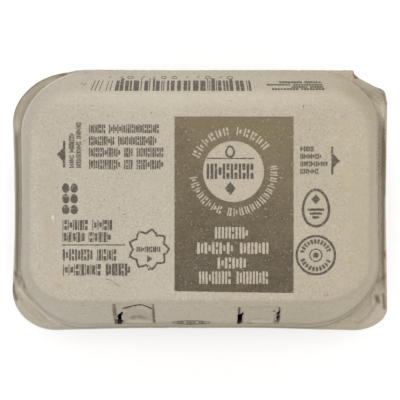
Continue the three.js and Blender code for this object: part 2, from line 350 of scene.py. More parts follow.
def new_tree(name, inputs):
    """A Geometry Nodes tree with one geometry in and out, and named inputs of their kinds."""
    tree = bpy.data.node_groups.new(name, "GeometryNodeTree")
    tree.interface.new_socket("Geometry", in_out="INPUT", socket_type="NodeSocketGeometry")
    tree.interface.new_socket("Geometry", in_out="OUTPUT", socket_type="NodeSocketGeometry")
    for label, kind in inputs:
        tree.interface.new_socket(label, in_out="INPUT", socket_type="NodeSocket" + kind)
    return tree


NODE_SPACING = 190


class Nodes:
    """Adds nodes to a tree and links them, from left to right."""

    def __init__(self, tree):
        self.tree = tree
        self.column = 0

    def add(self, kind, values=None, **settings):
        """A node of a kind, its settings, and its inputs as values or as other nodes' outputs."""
        node = self.tree.nodes.new(kind)
        node.location = (self.column * NODE_SPACING, 0)
        self.column += 1
        for key, setting in settings.items():
            setattr(node, key, setting)
        for key, value in (values or {}).items():
            if isinstance(value, bpy.types.NodeSocket):
                self.tree.links.new(value, node.inputs[key])
            else:
                node.inputs[key].default_value = value
        return node

    def out(self, kind, values=None, output=0, **settings):
        """The chosen output of a new node."""
        return self.add(kind, values, **settings).outputs[output]


def with_tree(piece, tree, values):
    """Runs a Geometry Nodes tree on a piece and keeps the result as a plain mesh."""
    modifier = piece.modifiers.new(tree.name, "NODES")
    modifier.node_group = tree
    for name, value in values.items():
        modifier[input_id(tree, name)] = value
    return applied(piece)


# The unevenness of moulded pulp

# Its swells, lumps and grain: the size of each, how high it stands, and where its noise starts
RELIEF = [(26.0, 0.2, (0, 0, 0)), (5.5, 0.075, (7.1, 0, 0)), (1.9, 0.04, (0, 3.3, 0))]


def relief(point):
    """How far a point in millimetres moves along its normal."""
    return sum(
        height * noise.noise(Vector(point) / size + Vector(start)) for size, height, start in RELIEF
    )


def add_relief(piece, strength=1.0):
    """Gives a piece the unevenness of pulp, along its normals."""
    points = points_of(piece)
    normals = np.empty(points.size)
    piece.data.vertices.foreach_get("normal", normals)
    shift = strength * np.array([relief(point) for point in points])
    points += normals.reshape(-1, 3) * shift[:, None]
    piece.data.vertices.foreach_set("co", (points * MM).reshape(-1))
    piece.data.update()
    return piece


def soft_shading(piece):
    piece.data.shade_smooth()
    return piece


# Creases in the crumpled corners: points along each in plan, its width, its depth where it runs
# over the flange (a ridge's is below 0) and the strength of the painted shade along it (below 0,
# painted highlight along a ridge)
CREASES = [
    ([(-58.6, 49.5), (-56.4, 50.6), (-54.0, 51.2), (-50.5, 51.5), (-44.7, 51.8)], 0.4, 0.2, 0.3),
    ([(-57.4, 51.6), (-55.6, 50.4), (-53.4, 50.3)], 0.35, 0.2, 0.25),
    ([(-75.7, -26.8), (-75.2, -30.9)], 0.4, 0.6, 0.5),
    ([(-74.2, -30.7), (-72.5, -31.5), (-71.1, -33.5), (-70.9, -35.4)], 0.5, 0.7, 0.35),
    ([(-75.0, -29.4), (-73.6, -32.2), (-72.9, -34.4)], 0.4, 0.7, 0.3),
    ([(-75.9, -34.2), (-75.6, -37.0), (-74.6, -40.2)], 0.7, 0.8, 0.75),
    ([(-73.2, -36.0), (-70.3, -39.8), (-66.4, -43.4), (-61.5, -47.6), (-56.9, -50.1)], 0.6, -0.6, -0.8),
    ([(-74.0, -38.5), (-70.0, -44.5), (-64.0, -49.5)], 0.35, 0.3, 0.25),
    ([(-72.0, -38.0), (-68.0, -43.0), (-62.5, -48.0)], 0.3, 0.3, 0.25),
    ([(72.9, -38.6), (70.9, -43.1), (68.2, -47.1), (64.2, -50.1)], 0.45, 0.6, 0.2),
    ([(71.6, -39.3), (72.5, -41.3)], 0.9, 0.7, 0.8),
    ([(74.4, -38.4), (74.9, -43.9)], 0.5, 0.7, 0.75),
    ([(73.5, -39.4), (73.7, -42.4)], 0.3, -0.3, -0.5),
    ([(72.4, -33.6), (75.4, -30.8)], 0.5, 0.7, 0.6),
    ([(62.5, 51.2), (62.9, 50.8)], 0.35, 0.6, 0.7),
    ([(63.0, 49.9), (63.7, 49.7)], 0.4, 0.8, 0.75),
    ([(68.4, 42.6), (70.6, 40.8), (72.4, 39.3)], 0.25, 0.2, 0.3),
    ([(69.6, 44.0), (71.6, 42.2), (73.2, 40.2)], 0.25, 0.2, 0.3),
    ([(71.4, 45.0), (73.2, 42.8), (74.2, 40.0)], 0.3, 0.3, 0.3),
    ([(73.2, 45.2), (74.6, 43.0), (75.5, 39.0)], 0.4, 0.7, 0.6),
    ([(66.0, 48.2), (71.0, 45.9)], 0.4, -0.3, -0.25),
    ([(73.8, 37.4), (74.4, 33.4)], 0.6, -0.5, -0.5),
    ([(75.1, 24.0), (75.1, 12.0), (75.0, 2.0)], 0.4, 0.5, 0.6),
    ([(74.7, -21.4), (74.9, -22.9)], 0.6, 1.2, 0.9),
]


def distance_to_path(points, path):
    """How far each of many points in plan is from a path of straight lines."""
    nearest = np.full(len(points), 1e9)
    for start, end in zip(np.array(path[:-1]), np.array(path[1:])):
        way = end - start
        share = np.clip((points - start) @ way / (way @ way), 0, 1)
        gap = np.linalg.norm(points - start - share[:, None] * way, axis=1)
        nearest = np.minimum(nearest, gap)
    return nearest


def lay_painted_light(piece, amounts):
    """Lays painted shade on a piece's points as an attribute, or painted highlight where an amount is
    below 0.
    """
    painted_light = piece.data.attributes.new("painted_light", "FLOAT", "POINT")
    painted_light.data.foreach_set("value", np.clip(amounts, -1, 1))
    return piece


CREASE_HEIGHTS = (30, 42.5)  # the creases mark only what lies between these


def crease_painted_light(points):
    """Painted shade along the creases round the rim at each point, or painted highlight along ridges
    where below 0.
    """
    painted_light = np.zeros(len(points))
    near_rim = (points[:, 2] > CREASE_HEIGHTS[0]) & (points[:, 2] < CREASE_HEIGHTS[1])
    for path, width, _, dark in CREASES:
        away = distance_to_path(points[:, :2], path)
        painted_light += dark * np.exp(-(away / width) ** 2)
    return painted_light * near_rim


# The lid

def wall_outline(z, drawn_in=0.0):
    """The lid's outline at a height on its walls."""
    share = (z - LID_FOOT - BEAD_HEIGHT) / (WALL_TOP - LID_FOOT - BEAD_HEIGHT)
    lean = STRAIGHT_SHARE * share + (1 - STRAIGHT_SHARE) * share ** 3
    return inset(between(inset(LID_EDGE, BEAD_PROUD), PLATEAU, lean), drawn_in)


def wall_heights(cell):
    """Heights up the walls that fall on every window's top and bottom, about a cell apart."""
    edges = {LID_FOOT + BEAD_HEIGHT, WALL_TOP}
    for latch in LATCHES.values():
        edges |= {latch["bottom"], latch["top"]}
    edges = sorted(edges)
    spans = [
        np.linspace(start, end, max(round((end - start) / cell), 1), endpoint=False)
        for start, end in zip(edges, edges[1:])
    ]
    return np.concatenate(spans + [[WALL_TOP]])


# The bead along the lid's lower edge, from its foot up: how far in and how far above the foot
BEAD_SECTION = [(0.45, 0), (0.14, 0.14), (0, 0.5), (0.02, 1.1), (0.3, 1.6)]
SHOULDER_LEAN = math.radians(20)  # the walls' lean where the rounding of the shoulder starts
SHOULDER_IN = 1.9
SHOULDER_RISE = 2.9
CROWN_REACH = 5.0  # over about this far from its edge the top rises to its full height


def shoulder_step(angle):
    """How far in and how far above the walls the shoulder is, once it has turned to an angle."""
    inwards = SHOULDER_IN * (math.cos(SHOULDER_LEAN) - math.cos(angle))
    return inwards, WALL_TOP + SHOULDER_RISE * (math.sin(angle) - math.sin(SHOULDER_LEAN))


def window_test(ring, levels):
    """Tells whether the face at a row and column of the lid's rings lies in a latch window."""
    plan, places, _ = ring.points(LID_EDGE)

    def in_window(row, column):
        if row + 1 >= len(levels) or places[column] != "front":
            return False
        following = (column + 1) % len(plan)
        middle = (plan[column][0] + plan[following][0]) / 2
        level = (levels[row] + levels[row + 1]) / 2
        return any(
            window["left"] < middle < window["right"] and window["bottom"] < level < window["top"]
            for window in LATCHES.values()
        )

    return in_window


def lid_top(boundary, step):
    """The points inside the shoulder's last ring, slightly crowned, and the faces that join them."""
    shoulder_in, shoulder_top = shoulder_step(math.pi / 2)
    inner, faces = filled(boundary, step)
    edge = inset(PLATEAU, shoulder_in)
    from_edge = np.minimum.reduce([
        edge["right"] - inner[:, 0], inner[:, 0] - edge["left"],
        edge["back"] - inner[:, 1], inner[:, 1] - edge["front"],
    ])
    crown = (HEIGHT - shoulder_top) * (1 - np.exp(-np.maximum(from_edge, 0) / CROWN_REACH))
    return np.column_stack([inner, shoulder_top + crown]), faces


def thickened(piece, thickness):
    """The piece with a wall given to it, inwards from its skin."""
    wall = piece.modifiers.new("wall", "SOLIDIFY")
    wall.thickness = thickness * MM
    wall.offset = -1
    return applied(piece)


def make_lid(cell=0.75):
    """The lid's skin with its windows open, given the pulp's thickness inwards."""
    ring = Ring(cell)
    heights = wall_heights(cell)
    rings = [ring.at(inset(LID_EDGE, inwards), LID_FOOT + rise) for inwards, rise in BEAD_SECTION]
    rings += [ring.at(wall_outline(z), z) for z in heights]
    for angle in np.linspace(SHOULDER_LEAN, math.pi / 2, 8)[1:]:
        inwards, z = shoulder_step(angle)
        rings.append(ring.at(inset(PLATEAU, inwards), z))
    levels = [LID_FOOT] * len(BEAD_SECTION) + list(heights)
    count = len(rings[0])
    faces = band_faces(len(rings), count, window_test(ring, levels))
    top, top_faces = lid_top(rings[-1][:, :2], cell * 1.1)
    first = (len(rings) - 1) * count
    faces += [tuple(first + index for index in face) for face in top_faces]
    lid = add_relief(mesh_piece("lid", np.concatenate(rings + [top]), faces))
    thickened(lid, PULP)
    # Painted shade and painted highlight, kept on the lid's points as an attribute
    lay_painted_light(lid, lid_painted_light(points_of(lid)))
    return soft_shading(lid)


def lid_painted_light(points):
    """Painted shade on the lid at each point, or painted highlight where below 0: shade just above the
    bead, most at the front corners and the middle of the front, a highlight on the upper walls at the
    front corners, on the bead at the back left and the ends and on the end walls, a darker bead along
    the front, and the creases' shade.
    """
    x, y, z = points.T
    bead = smoothstep(z, LID_FOOT + 0.1, LID_FOOT + 0.4) * (1 - smoothstep(z, 39.4, 40.2))
    above_bead = smoothstep(z, 39.2, 40.2) * (1 - smoothstep(z, 42.5, 47.0))
    upper_wall = smoothstep(z, 46.0, 50.0) * (1 - smoothstep(z, 66.0, 68.0))
    front_right = smoothstep(x, 38, 62) * smoothstep(-y, 14, 34)
    front_left = smoothstep(-x, 42, 62) * smoothstep(-y, 22, 38)
    back_left = smoothstep(-x, 42, 58) * smoothstep(y, -20, 20)
    end_wall = smoothstep(np.abs(x), 66.5, 69.5) * smoothstep(z, 40.0, 42.0)
    front_wall = smoothstep(-y, 45, 49) * (1 - smoothstep(np.abs(x), 40, 55))
    amounts = above_bead * (0.05 + 0.30 * front_right + 0.14 * front_left + 0.2 * front_wall)
    amounts -= upper_wall * (0.10 * front_right + 0.12 * front_left)
    amounts -= bead * (0.4 * back_left + 0.15 * smoothstep(np.abs(x), 66, 71) - 0.2 * front_wall)
    return amounts - 0.08 * end_wall + crease_painted_light(points)


# The latches

def inside_polygon(x, y, corners):
    """Which of many points lie inside a polygon."""
    inside = np.zeros(x.shape, bool)
    for (x0, y0), (x1, y1) in zip(corners, corners[1:] + corners[:1]):
        crosses = (y0 > y) != (y1 > y)
        rise = y1 - y0 if y1 != y0 else 1e-9
        inside ^= crosses & (x < (x1 - x0) * (y - y0) / rise + x0)
    return inside


def tab_top(latch, x):
    """How high a tab reaches at places along X."""
    tab = latch["tab"]
    reach = np.where(x < tab["peak_at"], tab["peak_at"] - tab["left"], tab["right"] - tab["peak_at"])
    away = np.clip(np.abs(x - tab["peak_at"]) / reach, 0, 1)
    return tab["shoulder"] + (tab["peak"] - tab["shoulder"]) * (1 - away ** 1.4)


WINDOW_DEPTH = 1.2  # from the lid's skin back to the flap over the tab
TAB_BELOW_SKIN = 0.7
FLAP_THICKNESS = 0.5
FLAP_BESIDE = 2.5  # how far the flap runs on beside its window, behind the lid
FLAP_BELOW = 3.5
DISH_ARCH_POWER = 2.2  # how square-shouldered a dish's arch is


def dish_arch(dish, across):
    """The height of a dish's upper edge, at shares of the way from its middle to its side."""
    return dish["foot"] + dish["arch"] * (1 - across ** DISH_ARCH_POWER)


def latch_depth(latch, x, z):
    """How far behind the lid's skin the flap lies, at places along X and heights."""
    tab, dish = latch["tab"], latch["dish"]
    inside_by = np.minimum.reduce([x - tab["left"], tab["right"] - x, tab_top(latch, x) - z])
    raised = smoothstep(inside_by, -0.25, 0.6)
    across = np.abs(x - dish["centre"]) / dish["half_width"]
    pressed = smoothstep(dish_arch(dish, across) - z, 0, 1.1)
    pressed *= smoothstep(z, dish["foot"] - 0.6, dish["foot"] + 1.4)
    pressed *= 1 - smoothstep(across, 0.85, 1.0)
    ledge = smoothstep(z, dish["foot"] + 0.5, dish["foot"] - 2.5)
    depth = WINDOW_DEPTH + (TAB_BELOW_SKIN - WINDOW_DEPTH) * raised
    depth += (dish["depth"] * pressed - 0.5 * ledge) * raised
    for start, end in latch["shades"]:
        depth += 0.6 * smoothstep(np.abs(x - (start + end) / 2), (end - start) / 2 + 0.35, 0)
    return depth


def open_places(latch, x, z):
    """Which places along X and heights are open: the gaps beside the tab, and the slit over it."""
    is_open = np.zeros(x.shape, bool)
    for gap in latch["gaps"]:
        is_open |= inside_polygon(x, z, gap)
    start, end, from_height, to_height = latch["slit"]
    share = (x - start) / (end - start)
    over_tab = z - tab_top(latch, x)
    slit_height = from_height + (to_height - from_height) * share
    in_slit = (share > 0) & (share < 1) & (over_tab > -0.2) & (over_tab < slit_height - 0.2)
    return is_open | in_slit


def latch_painted_light(dish, points):
    """Painted shade on a tab at each point: under the upper edge of its dish's arch, and just above the
    dish's foot.
    """
    x, z = points[:, 0], points[:, 2]
    off_centre = np.abs(x - dish["centre"]) / dish["half_width"]
    below_arch = dish_arch(dish, off_centre) - z
    above_foot = z - dish["foot"] + 0.2 * np.cos(x * 1.4)
    painted_light = 0.25 * np.exp(-((below_arch - 0.3) / 0.9) ** 2)
    painted_light += dish["foot_shade"] * smoothstep(above_foot, 0.1, 0.7) * (1 - smoothstep(above_foot, 2.0, 5.0))
    return painted_light * (off_centre < 1) * (0.75 + 0.25 * np.cos(x * 2.1))


def make_latch(name, latch, cell=0.3):
    """The part of the latch flap behind one window: a raised tab with a thumb dish."""
    across = np.arange(latch["left"] - FLAP_BESIDE, latch["right"] + FLAP_BESIDE, cell)
    up = np.arange(latch["bottom"] - FLAP_BELOW, latch["top"] - 0.2, cell)
    x, z = np.meshgrid(across, up)
    skin = np.empty_like(x)
    for row, height in enumerate(up):
        outline = wall_outline(min(max(height, LID_FOOT + BEAD_HEIGHT), WALL_TOP))
        skin[row] = outline["front"] + outline["bow"]["front"]
    y = skin + latch_depth(latch, x, z)
    points = np.column_stack([x.ravel(), y.ravel(), z.ravel()])
    open_cells = open_places(latch, x[:-1, :-1] + cell / 2, z[:-1, :-1] + cell / 2)
    columns = len(across)
    faces = []
    for row, column in zip(*np.nonzero(~open_cells)):
        first = int(row) * columns + int(column)
        faces.append((first, first + 1, first + columns + 1, first + columns))
    flap = add_relief(mesh_piece(name, points, faces), 0.8)
    thickened(flap, FLAP_THICKNESS)
    # Painted shade, kept on the flap's points as an attribute
    lay_painted_light(flap, latch_painted_light(latch["dish"], points_of(flap)))
    return soft_shading(flap)


# The tray's flange

TROUGH_DEPTH = 3.0
# The shares of an end's length at which its trough begins and is full, from either corner
TROUGH_RUN_OUT = dict(left=(0.02, 0.12), right=(0.06, 0.15))
CRUSH_DROP = 5.0
FLANGE_ROOT = 6.4  # how far in from its edge the flange meets the body
UNDERSIDE = RIM - 1.7
# The flange's section, from below out round its edge and back in over its top: how far in from its
# edge, the height, and how far down the ends' trough takes it
FLANGE_SECTION = [
    (5.2, RIM - 4.3, 0), (4.2, RIM - 3.8, 0.1), (2.9, RIM - 3.0, 0.35), (1.7, RIM - 2.3, 0.6),
    (0.6, UNDERSIDE, 0.8), (0.12, UNDERSIDE + 0.12, 0.2), (0, UNDERSIDE + 0.4, 0),
    (0, RIM - 0.5, 0), (0.1, RIM - 0.15, 0), (0.4, RIM, 0), (0.8, RIM - 0.05, TROUGH_DEPTH * 0.2),
    (1.2, RIM - 0.2, TROUGH_DEPTH * 0.5), (1.6, RIM - 0.1, TROUGH_DEPTH * 0.85),
    (2.1, RIM, TROUGH_DEPTH), (2.8, RIM, TROUGH_DEPTH), (3.6, RIM, TROUGH_DEPTH),
    (4.4, RIM, 0), (4.9, RIM, 0), (5.4, RIM, 0), (5.9, RIM, 0), (FLANGE_ROOT, RIM, 0),
]
OUTERMOST = 7  # which point of the section stands at the outer edge, just under the top
CRUSHED_EDGE = [(76.1, 39.6), (75.2, 44.4), (71.0, 46.6), (65.4, 49.5), (62.1, 52.0)]


def spline(points, shares):
    """Points along a smooth curve through a few points."""
    points = np.array(points, float)
    last = len(points) - 1
    found = []
    for share in shares:
        place = share * last
        i = min(int(place), last - 1)
        t = place - i
        p0, p1 = points[max(i - 1, 0)], points[i]
        p2, p3 = points[i + 1], points[min(i + 2, last)]
        v0, v1 = (p2 - p0) / 2, (p3 - p1) / 2
        cubic = (2 * p1 - 2 * p2 + v0 + v1) * t ** 3
        square = (-3 * p1 + 3 * p2 - 2 * v0 - v1) * t ** 2
        found.append(cubic + square + v0 * t + p1)
    return np.array(found)


def flange_ring(ring, inwards, height, dip=0.0):
    """One ring of the flange, with its troughs along the ends and its crushed corner."""
    plan, places, shares = ring.points(inset(FLANGE, inwards))
    root = ring.points(inset(FLANGE, FLANGE_ROOT))[0]
    z = np.full(len(plan), float(height))
    crushed = places == "back_right"
    reach = inwards / FLANGE_ROOT
    edge = spline(CRUSHED_EDGE, shares[crushed])
    plan[crushed] = edge + (root[crushed] - edge) * reach
    z[crushed] -= CRUSH_DROP * np.sin(math.pi * shares[crushed]) * (1 - reach) ** 3.2
    from_end = np.minimum(shares, 1 - shares)
    for end, (begins, full) in TROUGH_RUN_OUT.items():
        z -= dip * smoothstep(from_end, begins, full) * (places == end)
    return np.column_stack([plan, z])


def pressed_creases(points, top):
    """The points, with those above a height pressed down along the creases, with raised lips."""
    shift = np.zeros(len(points))
    for path, width, depth, _ in CREASES:
        away = distance_to_path(points[:, :2], path)
        groove = np.exp(-(away / width) ** 2)
        lips = 0.25 * np.exp(-((away - 2 * width) / width) ** 2)
        shift += depth * (groove - lips)
    points[:, 2] -= shift * (points[:, 2] > top)
    return points


def make_flange(cell=0.5):
    ring = Ring(cell)
    rings = [flange_ring(ring, *station) for station in FLANGE_SECTION]
    points = pressed_creases(np.concatenate(rings), UNDERSIDE)
    flange = mesh_piece("tray_flange", points, closed_faces(rings))
    outermost = rings[OUTERMOST][:, :2]
    # Painted shade and painted highlight, kept on the flange's points as an attribute
    lay_painted_light(flange, flange_painted_light(points, outermost, ring.points(LID_EDGE)[0]))
    return soft_shading(add_relief(flange))


def flange_painted_light(points, outermost, lid_edge):
    """Painted shade on the flange at each point, or painted highlight where below 0: a line of shade
    along its own edge, strongest at the back left, and along the lid's edge, the ends' troughs
    lightened, and the creases' shade.
    """
    from_edge = distance_to_path(points[:, :2], [*outermost, outermost[0]])
    from_lid = distance_to_path(points[:, :2], [*lid_edge])
    x, y, _ = points.T
    back_left = smoothstep(-x, 40, 60) * smoothstep(y, 10, 30)
    front_right = smoothstep(x, 20, 50) * smoothstep(-y, 10, 30)
    front_left = smoothstep(-x, 45, 60) * smoothstep(-y, 25, 38)
    trough = smoothstep(np.abs(x), 72.8, 73.6) * (1 - smoothstep(np.abs(y), 26, 36))
    painted_light = (0.1 + 0.7 * back_left) * np.exp(-(from_edge / 0.45) ** 2) - 0.45 * trough
    painted_light += (0.15 + 0.3 * front_right - 0.15 * front_left) * np.exp(-(from_lid / 0.5) ** 2)
    return painted_light + crease_painted_light(points)


# The tray's cups, webs and posts

def turned(name, profile, steps):
    """A closed turned piece about the Z axis from (radius, height) points, foot first."""
    angles = np.linspace(0, 2 * math.pi, steps, endpoint=False)
    rings = [
        np.column_stack([radius * np.cos(angles), radius * np.sin(angles), np.full(steps, z)])
        for radius, z in profile
    ]
    return closed_piece(name, rings)


def blend(piece, voxel):
    """Runs overlapping closed bodies together into one even skin."""
    even = piece.modifiers.new("even", "REMESH")
    even.mode = "VOXEL"
    even.voxel_size = voxel * MM
    return applied(piece)


TRAY_TOP = RIM - 3.3
TRAY_VOXEL = 0.8
VALLEY_DEPTH = 9.0
HEEL_RADIUS = CUP_FOOT_RADIUS + 3.6  # a cup's radius where its rounded heel ends
HEEL_HEIGHT = 4.0
CUP_TOP = WEB + 2.5
CUP_SLOPE = (WEB_CUP_RADIUS - 0.6 - HEEL_RADIUS) / (WEB - HEEL_HEIGHT)
# A cup's section from the middle of its foot, which stands a little clear, out round the heel and up,
# as (radius, height)
CUP_PROFILE = [
    (CUP_FOOT_RADIUS - 6.5, 0.9), (CUP_FOOT_RADIUS - 3.2, 0.8), (CUP_FOOT_RADIUS - 2.2, 0.1),
    (CUP_FOOT_RADIUS - 1.8, 0.0), (CUP_FOOT_RADIUS, 0.0), (CUP_FOOT_RADIUS + 1.0, 0.15),
    (CUP_FOOT_RADIUS + 1.9, 0.6), (CUP_FOOT_RADIUS + 3.0, 2.0), (HEEL_RADIUS, HEEL_HEIGHT),
    (HEEL_RADIUS + CUP_SLOPE * (CUP_TOP - HEEL_HEIGHT), CUP_TOP),
]
# The section of a hollow post, cut up into the tray between four cups, as (radius, height)
POST_PROFILE = [(8.2, WEB - 3), (7.4, WEB - 0.5), (7.0, WEB + 1), (4.6, 32.5)]
TRAY_TOP_OUTLINE = symmetric(71.7, 48.9, (24, 22))
TRAY_WEB_OUTLINE = symmetric(
    CUP_PITCH_X + WEB_CUP_RADIUS, CUP_PITCH_Y / 2 + WEB_CUP_RADIUS,
    (WEB_CUP_RADIUS, WEB_CUP_RADIUS),
)


def tray_ring(ring, z):
    """The tray's outline at a height above the webs, with valleys between the cups."""
    share = (z - WEB) / (TRAY_TOP - WEB)
    base = between(TRAY_WEB_OUTLINE, TRAY_TOP_OUTLINE, share)
    cup_radius = WEB_CUP_RADIUS + (TRAY_TOP_OUTLINE["back"] - CUP_PITCH_Y / 2 - WEB_CUP_RADIUS) * share
    deepest = VALLEY_DEPTH * (1 - smoothstep(z, WEB, TRAY_TOP))

    def valley(from_centre):
        opened = cup_radius - np.sqrt(np.maximum(cup_radius ** 2 - from_centre ** 2, 0))
        return deepest * (1 - np.exp(-opened / max(deepest, 0.01)))

    plan, places, _ = ring.points(base)
    x, y = plan[:, 0].copy(), plan[:, 1].copy()
    along_x = np.abs(np.abs(x) - np.where(np.abs(x) > CUP_PITCH_X / 2, CUP_PITCH_X, 0))
    along_y = CUP_PITCH_Y / 2 - np.abs(y)
    long_side = ((places == "front") | (places == "back")) & (np.abs(x) < CUP_PITCH_X)
    end_side = ((places == "left") | (places == "right")) & (along_y > 0)
    plan[long_side, 1] -= (np.sign(y) * valley(along_x))[long_side]
    plan[end_side, 0] -= (np.sign(x) * valley(along_y))[end_side]
    return np.column_stack([plan, np.full(len(plan), z)])


def make_webs():
    ring = Ring(2.2)
    return closed_piece("webs", [tray_ring(ring, z) for z in np.linspace(WEB, TRAY_TOP, 10)])


def cups_tree():
    """Sets cups on a grid of rows and columns and joins them with the webs."""
    tree = new_tree("egg_cups", [
        ("Cup", "Object"), ("Columns", "Int"), ("Rows", "Int"), ("Pitch along", "Float"),
        ("Pitch across", "Float"), ("Finish", "Material"),
    ])
    nodes = Nodes(tree)
    given = nodes.add("NodeGroupInput").outputs
    size = {}
    for name, counts, pitch in (("X", "Columns", "Pitch along"), ("Y", "Rows", "Pitch across")):
        steps = nodes.out("ShaderNodeMath", {0: given[counts], 1: 1.0}, operation="SUBTRACT")
        size[name] = nodes.out("ShaderNodeMath", {0: steps, 1: given[pitch]}, operation="MULTIPLY")
    grid = nodes.out("GeometryNodeMeshGrid", {
        "Size X": size["X"], "Size Y": size["Y"],
        "Vertices X": given["Columns"], "Vertices Y": given["Rows"],
    })
    cup = nodes.out("GeometryNodeObjectInfo", {"Object": given["Cup"]}, output="Geometry")
    cups = nodes.out("GeometryNodeInstanceOnPoints", {"Points": grid, "Instance": cup})
    joined = nodes.add("GeometryNodeJoinGeometry")
    tree.links.new(cups, joined.inputs[0])
    tree.links.new(given["Geometry"], joined.inputs[0])
    real = nodes.out("GeometryNodeRealizeInstances", {"Geometry": joined.outputs[0]})
    done = nodes.out("GeometryNodeSetMaterial", {"Geometry": real, "Material": given["Finish"]})
    nodes.add("NodeGroupOutput", {"Geometry": done})
    return tree


def cut_posts(tray):
    """Cuts the two hollow posts up into the tray."""
    posts = []
    for side in (-1, 1):
        post = turned("post", POST_PROFILE, 40)
        for vertex in post.data.vertices:
            vertex.co.x += side * CUP_PITCH_X / 2 * MM
        cut = tray.modifiers.new("post", "BOOLEAN")
        cut.operation = "DIFFERENCE"
        cut.object = post
        cut.solver = "EXACT"
        posts.append(post)
    applied(tray)
    for post in posts:
        drop(post)


def make_tray(finish):
    """The tray below the flange: tapered cups that run together into webs, with hollow posts."""
    cup = turned("cup", CUP_PROFILE, 72)
    tray = with_tree(make_webs(), cups_tree(), {
        "Cup": cup, "Columns": CUPS_ALONG, "Rows": CUPS_ACROSS,
        "Pitch along": CUP_PITCH_X * MM, "Pitch across": CUP_PITCH_Y * MM, "Finish": finish,
    })
    tray.name = "tray"
    drop(cup)
    blend(tray, TRAY_VOXEL)
    cut_posts(tray)
    blend(tray, TRAY_VOXEL)
    smooth = tray.modifiers.new("soften", "SMOOTH")
    smooth.factor = 0.5
    smooth.iterations = 10
    return soft_shading(add_relief(applied(tray)))


# The hinge

HINGE_ENDS = (-54.5, 62.6)
HINGE_RADIUS = 2.0
HINGE_RUN_OUT = dict(left=9.0, right=3.0)  # over this length the roll closes towards its ends


def make_hinge():
    """The rolled hinge along the back edge, creased along its middle and drawn tight at its ends."""
    start, end = HINGE_ENDS
    angles = np.linspace(0, 2 * math.pi, 32, endpoint=False)
    rings = []
    for x in np.linspace(start, end, 260):
        tip = min(x - start, end - x)
        run_out = HINGE_RUN_OUT["left"] if x < 0 else HINGE_RUN_OUT["right"]
        taper = math.sqrt(max(1 - (1 - min(tip / run_out, 1)) ** 2, 0.02))
        reach = taper if x < 0 else min(0.7 + tip, 1)
        crease = 0.45 * np.exp(-((angles - 0.35) / 0.22) ** 2)
        flat = 1 - 0.3 * np.maximum(np.sin(angles), 0) ** 2
        wrinkle = 0.12 * noise.noise(Vector((x / 1.7, 0, 0)))
        size = HINGE_RADIUS * (1 - crease * 0.6) + wrinkle
        inwards = 2.2 * np.maximum(-np.cos(angles), 0) * smoothstep(x, 56, 61.5)
        y = WIDTH / 2 - HINGE_RADIUS - 0.1 + size * np.cos(angles) * reach - inwards
        z = RIM + 0.2 + size * np.sin(angles) * flat * taper
        rings.append(np.column_stack([np.full(len(angles), x), y, z]))
    hinge = closed_piece("hinge", rings)
    found = points_of(hinge)
    # Painted shade along the hinge's outer side, with the creases' painted shade
    outer_edge_shade = 0.25 * smoothstep(found[:, 1], WIDTH / 2 - 0.7, WIDTH / 2 - 0.2)
    lay_painted_light(hinge, outer_edge_shade + crease_painted_light(found))
    return soft_shading(add_relief(hinge, 0.8))


# The print

# Every mark is a closed outline in plan. Where one lies inside another, the pulp is left bare.

def block(left, bottom, right, top):
    return [(left, bottom), (right, bottom), (right, top), (left, top)]


def oval(centre_x, centre_y, half_width, half_height, narrow_top=0.0, steps=40):
    """An oval, or an egg where its top is narrower than its foot."""
    angles = np.linspace(0, 2 * math.pi, steps, endpoint=False)
    width = half_width * np.cos(angles) * (1 - narrow_top * np.sin(angles))
    return list(zip(centre_x + width, centre_y + half_height * np.sin(angles)))


def line_ring(outline_at, line):
    """Both edges of a line that runs round a form; outline_at gives the form drawn in by a distance."""
    return [outline_at(0), outline_at(line)]


GROUP_GAP = 0.75  # between groups of strokes, as a share of the pitch from pair to pair
# What a pair's second stroke covers of its height
SECOND_STROKES = [[(0, 1)], [(0, 0.4), (0.58, 1)], [(0.25, 0.75)], [(0.1, 0.9)]]


def row_marks(length, height, groups, weight, rng, fill=0.84):
    """Upright strokes and short dashes in groups, where a line of print would be.

    weight is a stroke's width and fill a pair's, both as shares of the pitch from pair to pair."""
    pitch = length / (sum(groups) + GROUP_GAP * (len(groups) - 1))
    stroke = pitch * weight
    marks = []
    at = 0.0
    for count in groups:
        for _ in range(count):
            marks.append(block(at, 0, at + stroke, height))
            spans = SECOND_STROKES[rng.integers(len(SECOND_STROKES))]
            start = min(at + stroke + 0.17 * pitch, at + pitch * fill - stroke * 0.8)
            for low_end, top_end in spans:
                marks.append(block(start, low_end * height, at + pitch * fill, top_end * height))
            at += pitch
        at += GROUP_GAP * pitch
    return marks


def level_row(left, bottom, right, top, groups, weight, rng):
    marks = row_marks(right - left, top - bottom, groups, weight, rng)
    return [[(left + u, bottom + v) for u, v in mark] for mark in marks]


def level_rows(rows, rng):
    """The marks of a table of rows: left, bottom, right, top, groups of strokes and their weight."""
    return [mark for row in rows for mark in level_row(*row, rng)]


def upright_row(left, bottom, right, top, groups, weight, rng):
    """A row that reads up the carton, with its top to the left."""
    marks = row_marks(top - bottom, right - left, groups, weight, rng)
    return [[(right - v, bottom + u) for u, v in mark] for mark in marks]


def curved_row(centre, radius, height, start, end, groups, weight, rng):
    """A row round a circle between two angles in degrees; from left to right, its top is outwards
    where the angle falls and inwards where it rises."""
    turn = math.radians(end - start)
    marks = row_marks(abs(turn) * radius, height, groups, weight, rng, 0.66)
    curved = []
    for mark in marks:
        points = []
        for u, v in mark:
            angle = math.radians(start) + math.copysign(u / radius, turn)
            reach = radius + (v if turn < 0 else height - v)
            points.append((centre[0] + reach * math.cos(angle), centre[1] + reach * math.sin(angle)))
        curved.append(points)
    return curved


